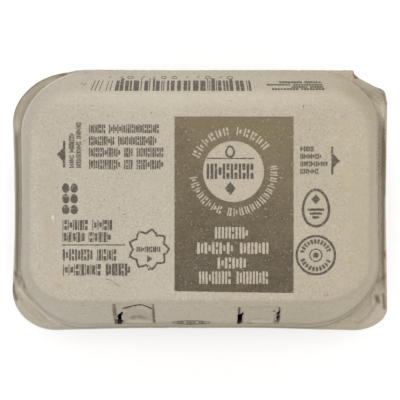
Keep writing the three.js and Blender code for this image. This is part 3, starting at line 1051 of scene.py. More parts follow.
PANEL = [(-9.9, -35.5), (36.4, -36.2), (36.4, 32.5), (-9.9, 32.5)]
DISC = (13.05, 11.1)
DISC_RADIUS = 11.9
PANEL_ROWS = [
    (5.8, -15.0, 19.1, -10.5, [5], 0.34), (-1.2, -21.0, 27.1, -16.5, [5, 4], 0.38),
    (6.8, -26.7, 18.3, -22.4, [4], 0.36), (-0.4, -32.7, 26.9, -27.8, [5, 5], 0.33),
]


def panel_marks(rng):
    """The brown panel, with a disc, a ring of dashes and four rows left bare in it."""
    marks = [PANEL, oval(*DISC, DISC_RADIUS, DISC_RADIUS, steps=90)]
    for start, end, groups in ((158, 32, [6, 5]), (188, 371, [8, 13])):
        marks += curved_row(DISC, 14.2, 3.2, start, end, groups, 0.2, rng)
    return marks + level_rows(PANEL_ROWS, rng)


LEFT_ARROW = [
    (-55.7, 17.7), (-53.3, 15.1), (-53.3, 12.7), (-52.5, 12.7), (-52.5, 23.0), (-53.3, 23.0),
    (-53.3, 20.3),
]
RIGHT_ARROW = [
    (51.1, 10.0), (51.9, 10.0), (51.9, 12.6), (54.5, 15.2), (51.9, 17.9), (51.9, 20.8), (51.1, 20.8),
]
BADGE = (-19.9, -19.2)
BADGE_TEETH = 9
EGG_MARK = (45.15, -3.1)
ROUND_MARK = (45.1, -21.5)


def line_and_sign_marks():
    """The thin lines and arrows, and the small signs in the disc, the badge and the two marks."""
    return [
        block(2.7, 16.0, 21.1, 16.4), oval(11.8, 4.5, 2.1, 2.6, 0.0, 4),
        block(-53.5, -17.7, -29.0, -17.3), LEFT_ARROW, RIGHT_ARROW,
        oval(-19.9, -22.9, 1.4, 1.7, 0.0, 3), block(-20.2, -27.4, -19.6, -25.4),
        oval(45.1, 0.3, 1.7, 1.9, 0.0, 4), oval(*ROUND_MARK, 1.1, 1.1, 0.0, 20),
    ]


def disc_marks(rng):
    """The egg's outline and the row of strokes on the disc."""
    egg = line_ring(lambda by: oval(11.7, 18.9, 1.9 - by, 2.4 - by, 0.2), 0.75)
    return egg + level_row(2.6, 8.2, 21.3, 14.2, [6], 0.30, rng)


UPPER_LEFT_ROWS = [
    (-43.2, 26.0, -15.8, 29.4, [4, 12], 0.27), (-43.2, 21.3, -16.7, 24.8, [6, 9], 0.27),
    (-43.2, 16.7, -14.0, 20.4, [7, 2, 6], 0.27), (-43.2, 12.0, -14.1, 15.7, [7, 2, 6], 0.27),
]
UPRIGHT_ROWS = [
    (-51.0, 12.5, -48.9, 26.1, [4, 6], 0.27), (-48.3, 12.5, -46.2, 30.4, [8, 5], 0.27),
]
LOWER_LEFT_ROWS = [
    (-53.5, -11.7, -33.9, -7.8, [5, 4], 0.18), (-53.5, -16.4, -34.5, -12.5, [5, 5], 0.14),
    (-53.4, -23.6, -41.5, -19.2, [5], 0.32), (-40.1, -23.6, -32.3, -19.2, [4], 0.16),
    (-53.3, -29.4, -38.4, -25.0, [7], 0.15), (-36.7, -29.4, -26.8, -24.7, [4], 0.42),
]


def left_marks(rng):
    """The rows at the left, and the six egg-shaped dots between them."""
    marks = level_rows(UPPER_LEFT_ROWS, rng)
    for row in UPRIGHT_ROWS:
        marks += upright_row(*row, rng)
    for column in (-52.3, -49.0):
        for row in (4.7, 0.5, -3.7):
            marks.append(oval(column, row, 1.42, 1.85, 0.16, 28))
    return marks + level_rows(LOWER_LEFT_ROWS, rng)


def badge_outline(drawn_in):
    """The toothed badge at the front left."""
    angles = np.linspace(0, 2 * math.pi, 132, endpoint=False)
    reach = 6.6 - drawn_in + 1.7 * np.abs(((angles * BADGE_TEETH / math.pi) % 2) - 1)
    return list(zip(BADGE[0] + reach * np.cos(angles), BADGE[1] + reach * np.sin(angles)))


def badge_marks(rng):
    return line_ring(badge_outline, 0.9) + level_row(-24.7, -20.3, -15.2, -18.1, [6], 0.27, rng)


RIGHT_ROWS = [
    (39.1, 18.9, 44.4, 20.9, [4], 0.38), (39.1, 16.0, 47.4, 18.0, [6], 0.3),
    (39.1, 13.1, 49.8, 15.1, [8], 0.3), (39.1, 10.2, 46.2, 12.2, [5], 0.3),
]


def right_marks(rng):
    """The rows at the right, the egg-shaped mark with its bars, and the round mark below it."""
    marks = level_rows(RIGHT_ROWS, rng)
    marks += line_ring(lambda by: oval(*EGG_MARK, 5.55 - by, 7.6 - by, 0.1, 60), 1.0)
    for half, height in ((3.3, -4.2), (2.4, -5.7), (1.3, -7.2)):
        marks.append(block(45.1 - half, height, 45.1 + half, height + 0.9))
    marks += line_ring(lambda by: oval(*ROUND_MARK, 7.9 - by, 7.9 - by, steps=72), 0.9)
    marks += line_ring(lambda by: oval(*ROUND_MARK, 2.6 - by, 2.6 - by, steps=40), 0.45)
    for start, end, strokes in ((168, 12, 11), (196, 344, 10)):
        marks += curved_row(ROUND_MARK, 4.5, 1.8, start, end, [strokes], 0.38, rng)
    return marks


def dark_marks(rng):
    """The dark print on the top of the lid."""
    marks = line_and_sign_marks() + disc_marks(rng) + left_marks(rng)
    return marks + badge_marks(rng) + right_marks(rng)


BAR_FOOT = 42.7
BAR_HEAD = 47.3
BACK_WALL_ROWS = [
    (31.3, 46.1, 48.1, 46.9, [8, 6], 0.45), (26.3, 45.0, 48.3, 45.7, [9, 11], 0.45),
    (36.0, 44.0, 48.7, 44.7, [7, 6], 0.45), (28.2, 43.0, 48.9, 43.8, [9, 8], 0.45),
]


def bar(start, end, head=BAR_HEAD):
    """A bar on the back wall, fanned out a little towards the lid's top."""
    splay = [1.2 * smoothstep(x, -27, -42) - 0.45 * smoothstep(x, 0, 20) for x in (start, end)]
    return [(start, BAR_FOOT), (end, BAR_FOOT), (end + splay[1], head), (start + splay[0], head)]


def back_wall_marks(rng):
    """Bars on the back wall, with marks above and beside them."""
    marks = [bar(at, at + 0.3) for at in (-42.8, -41.3, -39.6, -37.0, -35.4)]
    at = -33.4
    while at < 20.6:
        wide = rng.choice([0.35, 0.8, 1.4, 2.1], p=[0.3, 0.3, 0.3, 0.1])
        marks.append(bar(at, at + wide, rng.choice([BAR_HEAD, 48.4], p=[0.75, 0.25])))
        at += wide + rng.choice([0.45, 0.7, 1.1], p=[0.5, 0.35, 0.15])
    for at in np.arange(-36.5, 16.0, 4.4):
        wide = rng.uniform(0.9, 1.7)
        if rng.random() < 0.5:
            marks += line_ring(lambda by: oval(at, 48.9, wide - by, 0.75 - by * 0.7, steps=16), 0.3)
        else:
            marks.append([(at, 48.7), (at + 0.4, 48.7), (at + wide, 49.5), (at + wide - 0.4, 49.5)])
    return marks + level_rows(BACK_WALL_ROWS, rng)


def front_wall_marks(rng):
    marks = line_ring(lambda by: oval(-3.5, -49.3, 7.8 - by, 1.1 - by * 0.85), 0.45)
    return marks + level_row(-9.0, -49.8, 2.0, -48.8, [2, 3, 2], 0.6, rng)


def divided(mark, cell):
    """A mark's outline, with its points no more than a cell apart."""
    outline = []
    for start, end in zip(mark, mark[1:] + mark[:1]):
        start, end = np.array(start), np.array(end)
        parts = max(math.ceil(np.linalg.norm(end - start) / cell), 1)
        outline += [start + (end - start) * i / parts for i in range(parts)]
    return outline


def inked(marks, x, y):
    """Which of many points lie in ink: inside an odd number of marks."""
    inside = np.zeros(len(x), bool)
    for mark in marks:
        (left, bottom), (right, top) = np.min(mark, axis=0), np.max(mark, axis=0)
        near = (x > left) & (x < right) & (y > bottom) & (y < top)
        inside[near] ^= inside_polygon(x[near], y[near], mark)
    return inside


def flat_print(name, marks, cell, rough, rng):
    """A flat mesh in plan of the marks, with slightly rough edges."""
    points, edges = [], []
    for mark in marks:
        outline = divided(mark, cell)
        first, count = len(points), len(outline)
        points += [point + rng.normal(0, rough, 2) for point in outline]
        edges += [(first + i, first + (i + 1) % count) for i in range(count)]
    corners = np.array(points)
    lowest, highest = corners.min(axis=0), corners.max(axis=0)
    x, y = np.meshgrid(np.arange(lowest[0], highest[0], cell), np.arange(lowest[1], highest[1], cell))
    x[::2] += cell / 2
    inner = np.column_stack([x.ravel(), y.ravel()])
    inner = inner[inked(marks, *inner.T)]
    flat = [Vector(point) for point in np.concatenate([corners, inner])]
    found = delaunay_2d_cdt(flat, edges, [], 0, 1e-5)
    plan = np.array([tuple(point) for point in found[0]])
    faces = np.array([tuple(face) for face in found[2]])
    faces = faces[inked(marks, *plan[faces].mean(axis=1).T)]
    level_points = np.column_stack([plan, np.zeros(len(plan))])
    return mesh_piece(name, level_points, faces.tolist())


# In metres: how far above its own height a mark starts down to the lid, how far it may go, and how
# near each other two points become one
ABOVE_MARK = 0.1
DOWN_TO_LID = 0.2
SAME_POINT = 0.000001


def print_tree():
    """Lays flat marks down on the lid from above and gives them the thickness of soaked-in ink."""
    tree = new_tree("print_on_pulp", [
        ("Lid", "Object"), ("Soaked in", "Float"), ("Proud", "Float"), ("Ink", "Material"),
    ])
    nodes = Nodes(tree)
    given = nodes.add("NodeGroupInput").outputs
    lid = nodes.out("GeometryNodeObjectInfo", {"Object": given["Lid"]}, output="Geometry")
    place = nodes.out("GeometryNodeInputPosition")
    above = nodes.out("ShaderNodeVectorMath", {0: place, 1: (0, 0, ABOVE_MARK)}, operation="ADD")
    landed = nodes.add("GeometryNodeRaycast", {
        "Target Geometry": lid, "Source Position": above, "Ray Direction": (0, 0, -1),
        "Ray Length": DOWN_TO_LID,
    }).outputs
    inwards = nodes.out("ShaderNodeMath", {0: given["Soaked in"], 1: -1.0}, operation="MULTIPLY")
    sunk = nodes.out("ShaderNodeVectorMath", {0: landed["Hit Normal"], "Scale": inwards},
                     operation="SCALE")
    bottom_place = nodes.out("ShaderNodeVectorMath", {0: landed["Hit Position"], 1: sunk},
                             operation="ADD")
    bottom = nodes.out("GeometryNodeSetPosition", {
        "Geometry": given["Geometry"], "Position": bottom_place,
    })
    thick = nodes.out("ShaderNodeMath", {0: given["Soaked in"], 1: given["Proud"]}, operation="ADD")
    top = nodes.out("GeometryNodeExtrudeMesh", {
        "Mesh": bottom, "Offset Scale": thick, "Individual": False,
    })
    under = nodes.out("GeometryNodeFlipFaces", {"Mesh": bottom})
    joined = nodes.add("GeometryNodeJoinGeometry")
    tree.links.new(top, joined.inputs[0])
    tree.links.new(under, joined.inputs[0])
    closed = nodes.out("GeometryNodeMergeByDistance", {
        "Geometry": joined.outputs[0], "Distance": SAME_POINT,
    })
    real = nodes.out("GeometryNodeRealizeInstances", {"Geometry": closed})
    done = nodes.out("GeometryNodeSetMaterial", {"Geometry": real, "Material": given["Ink"]})
    nodes.add("NodeGroupOutput", {"Geometry": done})
    return tree


# Dark flecks on the lid: where, how long, how wide, and how they lie in degrees
FLECKS = [
    (-19.1, 33.9, 1.0, 0.3, 80), (40.3, 36.4, 1.2, 0.35, 85), (-45.4, 45.5, 1.3, 0.4, 35),
    (-46.6, 46.1, 0.9, 0.3, -40), (-45.3, 23.0, 0.5, 0.4, 0), (-26.1, 32.3, 0.5, 0.35, 20),
    (-37.2, 0.2, 0.4, 0.4, 0), (-31.5, -3.1, 0.5, 0.25, 50), (-29.4, -5.6, 0.35, 0.35, 0),
    (-50.7, -34.3, 0.45, 0.3, 30), (-35.8, -37.2, 0.5, 0.3, 0), (31.2, 24.5, 0.4, 0.3, 70),
    (-59.5, -8.5, 0.4, 0.3, 10), (-12.4, -38.2, 0.5, 0.3, 20), (40.5, -33.6, 0.4, 0.3, 60),
    (57.7, 17.6, 0.5, 0.25, 30), (49.6, -37.1, 0.5, 0.3, 0), (12.0, 38.6, 0.45, 0.3, 40),
    (-5.3, 36.1, 0.4, 0.3, 0), (24.9, -38.4, 0.6, 0.25, 15), (-3.1, -38.4, 0.4, 0.3, 0),
]
HAIR = [(-36.6, -30.9), (-34.9, -31.1), (-33.6, -32.3), (-32.1, -33.2), (-31.0, -33.9)]
HAIR_WIDTH = 0.16


def fleck_marks():
    marks = []
    for x, y, length, width, degrees in FLECKS:
        turn = math.radians(degrees)
        mark = []
        for u, v in oval(0, 0, length / 2, width / 2, 0, 8):
            mark.append((x + u * math.cos(turn) - v * math.sin(turn),
                         y + u * math.sin(turn) + v * math.cos(turn)))
        marks.append(mark)
    hair = spline(HAIR, np.linspace(0, 1, 24))
    lower = [tuple(point - (0, HAIR_WIDTH / 2)) for point in hair]
    upper = [tuple(point + (0, HAIR_WIDTH / 2)) for point in hair[::-1]]
    return marks + [lower + upper]


PRINT_SEED = 6
PRINT_SUNK = 0.12  # how deep the ink soaks into the pulp, and how far it stands over it
PRINT_PROUD = 0.07
# How far apart the points of a field of print are, and how rough its edges are
BROAD = (0.75, 0.05)
FINE = (0.4, 0.025)


def make_print(lid, inks):
    """The fields of print and the dark flecks, each laid on the lid."""
    rng = np.random.default_rng(PRINT_SEED)
    tree = print_tree()
    fields = [
        ("panel_print", panel_marks(rng), BROAD, "brown_ink", "brown_ink"),
        ("dark_print", dark_marks(rng), BROAD, "dark_ink", "dark_ink"),
        ("back_wall_print", back_wall_marks(rng), FINE, "dark_ink", "dark_ink"),
        ("front_wall_print", front_wall_marks(rng), FINE, "dark_ink", "dark_ink"),
        ("dark_flecks", fleck_marks(), FINE, "dark_fleck", "moulded_pulp"),
    ]
    printed = []
    for name, marks, (cell, rough), ink, slot in fields:
        piece = with_tree(flat_print(name, marks, cell, rough, rng), tree, {
            "Lid": lid, "Soaked in": PRINT_SUNK * MM, "Proud": PRINT_PROUD * MM, "Ink": inks[ink],
        })
        piece.data.shade_smooth()
        piece.data.set_sharp_from_angle(angle=math.radians(50))
        printed.append(piece)
    return printed


# Loose fibres on the pulp

FIBRE_RADIUS = 0.05
FIBRE_SCALES = (0.25, 0.7)  # of the one fibre that is scattered
# How many loose fibres lie on each square metre, the seed of their scatter, and their finish
LOOSE_FIBRES = dict(pale_fibres=(4500, 3, "pale_fibre"), dark_fibres=(2600, 8, "dark_fibre"))


def fibre_shape():
    """One short bent fibre along X, 1.8 mm long, of which the loose ones are smaller copies."""
    angles = np.linspace(0, 2 * math.pi, 5, endpoint=False)
    rings = []
    for place in np.linspace(-1, 1, 9):
        radius = FIBRE_RADIUS * (1 - 0.6 * abs(place) ** 3)
        bend = 0.35 * place ** 2 + 0.12 * math.sin(4 * place)
        rings.append(np.column_stack([
            np.full(len(angles), place * 0.9), bend + radius * np.cos(angles), radius * np.sin(angles),
        ]))
    return closed_piece("fibre", rings)


def fibres_tree():
    """Scatters a fibre over a surface, lying flat, turned and sized by chance."""
    tree = new_tree("fibre_scatter", [
        ("Fibre", "Object"), ("Count for each square metre", "Float"), ("Seed", "Int"),
        ("Shortest", "Float"), ("Longest", "Float"), ("Finish", "Material"),
    ])
    nodes = Nodes(tree)
    given = nodes.add("NodeGroupInput").outputs
    scattered = nodes.add("GeometryNodeDistributePointsOnFaces", {
        "Mesh": given["Geometry"], "Density": given["Count for each square metre"],
        "Seed": given["Seed"],
    }).outputs
    fibre = nodes.out("GeometryNodeObjectInfo", {"Object": given["Fibre"]}, output="Geometry")
    turn = nodes.out("FunctionNodeRandomValue", {2: 0.0, 3: 6.28, "Seed": given["Seed"]}, output=1)
    spin = nodes.out("ShaderNodeCombineXYZ", {"Z": turn})
    lying = nodes.out("FunctionNodeRotateRotation", {
        "Rotation": scattered["Rotation"], "Rotate By": spin,
    }, rotation_space="LOCAL")
    size = nodes.out("FunctionNodeRandomValue", {
        2: given["Shortest"], 3: given["Longest"], "Seed": given["Seed"],
    }, output=1)
    laid = nodes.out("GeometryNodeInstanceOnPoints", {
        "Points": scattered["Points"], "Instance": fibre, "Rotation": lying, "Scale": size,
    })
    real = nodes.out("GeometryNodeRealizeInstances", {"Geometry": laid})
    done = nodes.out("GeometryNodeSetMaterial", {"Geometry": real, "Material": given["Finish"]})
    nodes.add("NodeGroupOutput", {"Geometry": done})
    return tree


def make_fibres(lid, finishes):
    """Pale and dark loose fibres stuck to the lid."""
    tree = fibres_tree()
    shape = fibre_shape()
    shortest, longest = FIBRE_SCALES
    loose = []
    for name, (density, seed, finish) in LOOSE_FIBRES.items():
        copy = bpy.data.objects.new(name, lid.data.copy())
        bpy.context.scene.collection.objects.link(copy)
        piece = with_tree(copy, tree, {
            "Fibre": shape, "Count for each square metre": density, "Seed": seed,
            "Shortest": shortest, "Longest": longest, "Finish": finishes[finish],
        })
        loose.append(soft_shading(piece))
    drop(shape)
    return loose


# Materials

def new_material(name):
    material = bpy.data.materials.new(name)
    material.use_nodes = True
    material.node_tree.nodes.clear()
    return material, Nodes(material.node_tree)


def add_ramp(nodes, factor, stops):
    """A colour or grey from a factor, through (place, colour or grey) stops."""
    ramp = nodes.add("ShaderNodeValToRGB", {"Fac": factor})
    elements = ramp.color_ramp.elements
    while len(elements) < len(stops):
        elements.new(0.5)
    for element, (place, shade) in zip(elements, stops):
        element.position = place
        element.color = (*shade, 1) if isinstance(shade, tuple) else (shade, shade, shade, 1)
    return ramp.outputs["Color"]


def add_noise(nodes, place, size, detail=3.0, roughness=0.5):
    """Noise whose patches are about a size in millimetres."""
    return nodes.out("ShaderNodeTexNoise", {
        "Vector": place, "Scale": 0.7 / (size * MM), "Detail": detail, "Roughness": roughness,
    })


def add_mix(nodes, factor, first, second, blend="MIX"):
    """Two colours mixed by a factor; the second may be a plain colour."""
    if isinstance(second, tuple):
        second = (*second, 1.0)
    mix = nodes.add("ShaderNodeMix", {0: factor, 6: first, 7: second}, data_type="RGBA",
                    blend_type=blend)
    return mix.outputs[2]


def add_math(nodes, operation, first, second=0.0, clamp=False):
    return nodes.out("ShaderNodeMath", {0: first, 1: second}, operation=operation, use_clamp=clamp)


def add_part(nodes, value, share, rest):
    """A share of a value, added to the rest."""
    return nodes.out("ShaderNodeMath", {0: value, 1: share, 2: rest}, operation="MULTIPLY_ADD")


def add_range(nodes, value, given, wanted=(0.0, 1.0), **settings):
    """A value taken from one range into another."""
    return nodes.out("ShaderNodeMapRange", {
        "Value": value, "From Min": given[0], "From Max": given[1],
        "To Min": wanted[0], "To Max": wanted[1],
    }, **settings)


def add_turned(nodes, place, degrees):
    """A place turned about Z."""
    return nodes.out("ShaderNodeMapping", {
        "Vector": place, "Rotation": (0.0, 0.0, math.radians(degrees)),
    })


def add_streaks(nodes, place, degrees, long_size, thin_size):
    """Noise drawn out into fibres that lie at an angle."""
    squeezed = nodes.out("ShaderNodeMapping", {
        "Vector": add_turned(nodes, place, degrees), "Scale": (thin_size / long_size, 1.0, 1.0),
    })
    return add_noise(nodes, squeezed, thin_size, 2.0)


def add_wires(nodes, place, degrees, scale, distortion):
    """The even ridges that the mould's wire mesh leaves, at an angle."""
    return nodes.out("ShaderNodeTexWave", {
        "Vector": add_turned(nodes, place, degrees), "Scale": scale, "Distortion": distortion,
        "Detail": 2.0, "Detail Scale": 1.2,
    }, bands_direction="X")


def add_patch(nodes, place, ragged, centre, half_sizes, soft):
    """How much of a soft-edged oval patch shows, 1 inside and 0 outside; in millimetres."""
    shifted = nodes.out("ShaderNodeVectorMath", {
        0: place, 1: tuple(-value * MM for value in centre),
    }, operation="ADD")
    sized = nodes.out("ShaderNodeVectorMath", {
        0: shifted, 1: tuple(1 / (value * MM) for value in half_sizes),
    }, operation="MULTIPLY")
    away = nodes.out("ShaderNodeVectorMath", {0: sized}, output="Value", operation="LENGTH")
    uneven = add_math(nodes, "ADD", away, ragged)
    return add_range(nodes, uneven, (1.0 + soft, 1.0 - soft), interpolation_type="SMOOTHSTEP")


def add_surface(nodes, values):
    """A shader with its values, joined to the material's output."""
    shader = nodes.out("ShaderNodeBsdfPrincipled", values)
    nodes.add("ShaderNodeOutputMaterial", {"Surface": shader})


# Painted darkness, for what is seen through the latches' gaps into the shut carton
PAINTED_GAP_DARKNESS = (0.006, 0.005, 0.004)
# Patches of another colour: stains, pale marks and other paler or darker patches on the pulp, painted
# shade and painted highlight on walls, ledges and flange corners, and painted darkness behind the
# latches' gaps. Each has its centre, half sizes, softness, colour and strength.
PATCHES = [
    ((-55.1, -33.3, 69.0), (1.2, 0.75, 6.0), 0.7, (0.40, 0.26, 0.13), 0.6),
    ((-53.3, -34.5, 69.0), (0.6, 0.4, 6.0), 0.7, (0.40, 0.27, 0.14), 0.5),
    ((-59.3, -12.0, 69.0), (1.0, 8.0, 6.0), 0.9, (0.45, 0.33, 0.20), 0.4),
    ((-52.6, -30.5, 69.0), (4.0, 4.5, 6.0), 0.9, (0.46, 0.38, 0.27), 0.35),
    ((62.0, 42.0, 54.0), (6.5, 6.5, 13.0), 0.7, (0.34, 0.285, 0.175), 0.6),
    ((68.5, 33.0, 50.0), (4.0, 9.0, 13.0), 0.7, (0.35, 0.295, 0.185), 0.55),
    ((58.6, 26.8, 69.0), (1.0, 3.4, 6.0), 0.9, (0.44, 0.37, 0.23), 0.4),
    ((53.5, 28.8, 69.0), (1.5, 0.7, 6.0), 0.9, (0.44, 0.37, 0.22), 0.4),
    ((58.2, 8.6, 69.0), (1.5, 4.0, 6.0), 0.9, (0.47, 0.39, 0.24), 0.4),
    ((58.5, -10.8, 69.0), (0.9, 0.8, 6.0), 0.8, (0.50, 0.40, 0.24), 0.5),
    ((52.2, -10.2, 69.0), (0.9, 0.5, 6.0), 0.9, (0.56, 0.50, 0.42), 0.4),
    ((-57.3, -6.9, 69.0), (0.45, 0.75, 6.0), 0.6, (0.72, 0.69, 0.62), 0.85),
    ((-57.0, -6.0, 69.0), (4.6, 27.0, 6.0), 0.9, (0.38, 0.335, 0.26), 0.4),
    ((0.0, 39.8, 69.0), (58.0, 3.4, 5.0), 0.9, (0.52, 0.465, 0.375), 0.5),
    # Painted shade along the right edge of the top
    ((62.6, -8.0, 69.0), (4.2, 24.0, 7.0), 0.8, (0.39, 0.34, 0.24), 0.5),
    ((57.2, -22.2, 69.0), (1.1, 1.1, 6.0), 0.8, (0.48, 0.37, 0.20), 0.45),
    ((55.6, -33.0, 69.0), (1.1, 0.8, 6.0), 0.8, (0.48, 0.37, 0.21), 0.45),
    ((52.6, -35.6, 69.0), (0.7, 1.2, 6.0), 0.8, (0.48, 0.37, 0.21), 0.4),
    ((63.2, 50.7, 36.5), (1.2, 1.3, 4.0), 0.6, (0.28, 0.21, 0.11), 0.7),
    # Painted shade on the crushed back right flange corner
    ((69.0, 45.5, 33.0), (8.5, 6.5, 4.4), 0.4, (0.345, 0.302, 0.243), 0.85),
    # Painted shade on the flange along the back left corner and the left end, at the foot of the lid's
    # wall
    ((-73.0, 34.0, 35.6), (6.0, 11.0, 2.2), 0.4, (0.33, 0.285, 0.215), 0.8),
    ((-66.5, 43.5, 35.6), (8.0, 7.0, 2.2), 0.4, (0.33, 0.285, 0.215), 0.85),
    ((-58.0, 49.5, 35.6), (7.0, 4.0, 2.8), 0.5, (0.36, 0.315, 0.24), 0.7),
    # Painted highlight on the front left flange corner
    ((-67.0, -44.0, 35.8), (9.0, 8.0, 2.4), 0.4, (0.50, 0.44, 0.355), 0.7),
    ((65.4, -46.2, 36.2), (3.4, 2.4, 1.8), 0.7, (0.34, 0.31, 0.255), 0.3),
    # Painted highlight on the front right flange corner
    ((71.5, -46.0, 36.0), (6.5, 7.5, 2.0), 0.5, (0.48, 0.43, 0.34), 0.5),
    # Painted shade on the lower front wall at the right
    ((55.0, -49.4, 42.5), (26.0, 2.4, 3.6), 0.5, (0.32, 0.29, 0.24), 0.45),
    # Painted shade over the left tab, and painted highlight on the ledge at its dish's foot
    ((-24.8, -46.0, 53.0), (6.2, 5.5, 11.0), 0.25, (0.30, 0.26, 0.20), 0.45),
    ((-24.5, -49.4, 42.6), (5.4, 1.6, 2.2), 0.5, (0.50, 0.44, 0.355), 0.5),
    # Painted shade beside the left window's edges
    ((-33.7, -45.5, 58.5), (0.8, 6.0, 9.5), 0.5, (0.24, 0.195, 0.135), 0.8),
    ((-18.2, -45.0, 54.5), (0.5, 6.0, 9.5), 0.5, (0.26, 0.22, 0.165), 0.7),
    # Painted darkness seen through the left latch's gap, on the flange and the ledge behind it
    ((-32.0, -46.6, 36.4), (2.2, 3.0, 1.2), 0.2, PAINTED_GAP_DARKNESS, 1.0),
    ((-32.4, -48.9, 42.3), (1.2, 1.7, 3.2), 0.2, PAINTED_GAP_DARKNESS, 1.0),
    ((-34.0, -49.6, 42.0), (0.45, 0.9, 2.0), 0.5, (0.06, 0.05, 0.04), 0.8),
    # Painted shade at the top of the right window, and painted highlight on the ledge at its dish's
    # foot
    ((23.3, -43.6, 63.4), (8.0, 2.2, 2.0), 0.5, (0.34, 0.295, 0.23), 0.5),
    ((24.5, -49.4, 42.8), (6.2, 1.7, 2.6), 0.5, (0.50, 0.43, 0.335), 0.55),
    ((19.8, -49.6, 42.0), (1.6, 0.5, 1.5), 0.6, (0.28, 0.21, 0.12), 0.65),
    # Painted shade beside the right window's left edge, and painted darkness seen through its gaps
    ((15.5, -44.6, 58.2), (0.55, 4.0, 4.6), 0.5, (0.13, 0.105, 0.075), 0.75),
    ((16.0, -46.6, 36.4), (2.2, 3.0, 1.2), 0.2, PAINTED_GAP_DARKNESS, 1.0),
    ((16.0, -48.9, 42.6), (1.2, 1.7, 3.6), 0.2, PAINTED_GAP_DARKNESS, 1.0),
    ((31.2, -46.6, 36.4), (1.6, 3.0, 1.2), 0.2, PAINTED_GAP_DARKNESS, 1.0),
    # Painted shade beside the right window's right edge, and painted darkness seen through the gap
    # there
    ((31.4, -45.0, 57.5), (0.5, 4.5, 6.0), 0.6, (0.24, 0.20, 0.15), 0.5),
    ((31.2, -47.4, 50.0), (0.65, 2.4, 7.4), 0.3, PAINTED_GAP_DARKNESS, 0.95),
]
# Rows of ridges left by the mould's mesh: centre, half sizes, softness, turn in degrees, wave scale
# and strength
WIRE_MARKS = [
    ((73.2, 21.0, 37.0), (4.6, 15.0, 9.0), 0.4, 40, 330, 1.1),
    ((69.5, 45.0, 33.0), (7.5, 5.5, 6.0), 0.5, -42, 430, 1.0),
    ((-68.0, -43.5, 36.0), (9.5, 8.5, 3.0), 0.5, 48, 400, 0.4),
]


# The pulp's colours, from its darkest clouds and grains to its palest
PULP_TONES = [
    (0.34, (0.337, 0.295, 0.230)), (0.46, (0.410, 0.365, 0.292)), (0.54, (0.439, 0.392, 0.315)),
    (0.68, (0.510, 0.460, 0.377)),
]
# What these are multiplied by, from the carton's left end to its right
END_TINTS = [(0.0, (0.975, 0.985, 1.0)), (0.3, (0.97, 0.97, 0.97)), (1.0, (0.94, 0.915, 0.845))]
PALE_FIBRE = (0.60, 0.55, 0.46)
DARK_FIBRE = (0.24, 0.19, 0.13)
SPECK = (0.15, 0.115, 0.075)
# The colours of the painted shade and the painted highlight that the pieces' painted-light attribute
# lays on
PAINTED_SHADE = (0.095, 0.076, 0.052)
PAINTED_HIGHLIGHT = (0.62, 0.57, 0.48)
RIDGE_SHADE = (0.26, 0.215, 0.15)


def pulp_tone(nodes, place, mottle, grain):
    """The pulp's clouded and grained colour, cooler at the left end and warmer at the right."""
    clouds = add_noise(nodes, place, 22, 3.0)
    tone = add_part(nodes, mottle, 0.17, add_math(nodes, "MULTIPLY", clouds, 0.18))
    tone = add_part(nodes, grain, 0.65, tone)
    along = nodes.add("ShaderNodeSeparateXYZ", {"Vector": place}).outputs["X"]
    side = add_range(nodes, along, (-0.065, 0.065))
    tint = add_ramp(nodes, side, END_TINTS)
    return add_mix(nodes, 1.0, add_ramp(nodes, tone, PULP_TONES), tint, "MULTIPLY")


def with_fibres(nodes, place, colour):
    """The colour with fibres and specks in it, and how much of it is pale fibre."""
    pale = None
    for turn in (12, 71, 128):
        streaks = add_streaks(nodes, place, turn, 3.4, 0.42)
        pale = streaks if pale is None else add_math(nodes, "MAXIMUM", pale, streaks)
    pale_share = add_ramp(nodes, pale, [(0.66, 0.0), (0.78, 0.4)])
    colour = add_mix(nodes, pale_share, colour, PALE_FIBRE)
    dark = add_streaks(nodes, place, 160, 2.6, 0.36)
    colour = add_mix(nodes, add_ramp(nodes, dark, [(0.66, 0.0), (0.76, 0.5)]), colour, DARK_FIBRE)
    specks = nodes.out("ShaderNodeTexVoronoi", {"Vector": place, "Scale": 150.0, "Randomness": 1.0})
    speck_share = add_ramp(nodes, specks, [(0.028, 0.75), (0.055, 0.0)])
    return add_mix(nodes, speck_share, colour, SPECK), pale_share


def with_patches(nodes, place, ragged, colour):
    for centre, half_sizes, soft, stain, strength in PATCHES:
        patch = add_patch(nodes, place, ragged, centre, half_sizes, soft)
        share = add_math(nodes, "MULTIPLY", patch, strength)
        colour = add_mix(nodes, share, colour, stain)
    return colour


def with_painted_light(nodes, grain, colour):
    """The colour with painted shade where the pieces' painted-light attribute is above 0, and painted
    highlight where it is below 0.
    """
    painted_light = nodes.out("ShaderNodeAttribute", output="Fac", attribute_name="painted_light")
    uneven = add_range(nodes, grain, (0.3, 0.7), (0.7, 1.2))
    shaded = add_math(nodes, "MULTIPLY", painted_light, uneven, clamp=True)
    colour = add_mix(nodes, shaded, colour, PAINTED_SHADE)
    pale = add_math(nodes, "MULTIPLY", painted_light, -1.0, clamp=True)
    return add_mix(nodes, pale, colour, PAINTED_HIGHLIGHT)


def with_wire_marks(nodes, place, ragged, colour, height):
    """The colour and the height of the surface with the mesh's ridges on them."""
    for centre, half_sizes, soft, turn, scale, strength in WIRE_MARKS:
        patch = add_patch(nodes, place, ragged, centre, half_sizes, soft)
        wires = add_wires(nodes, place, turn, scale, 2.6)
        share = add_math(nodes, "MULTIPLY", patch, add_math(nodes, "MULTIPLY", wires, strength))
        height = add_part(nodes, share, 0.5, height)
        colour = add_mix(nodes, add_math(nodes, "MULTIPLY", share, 0.65), colour, RIDGE_SHADE)
    return colour, height


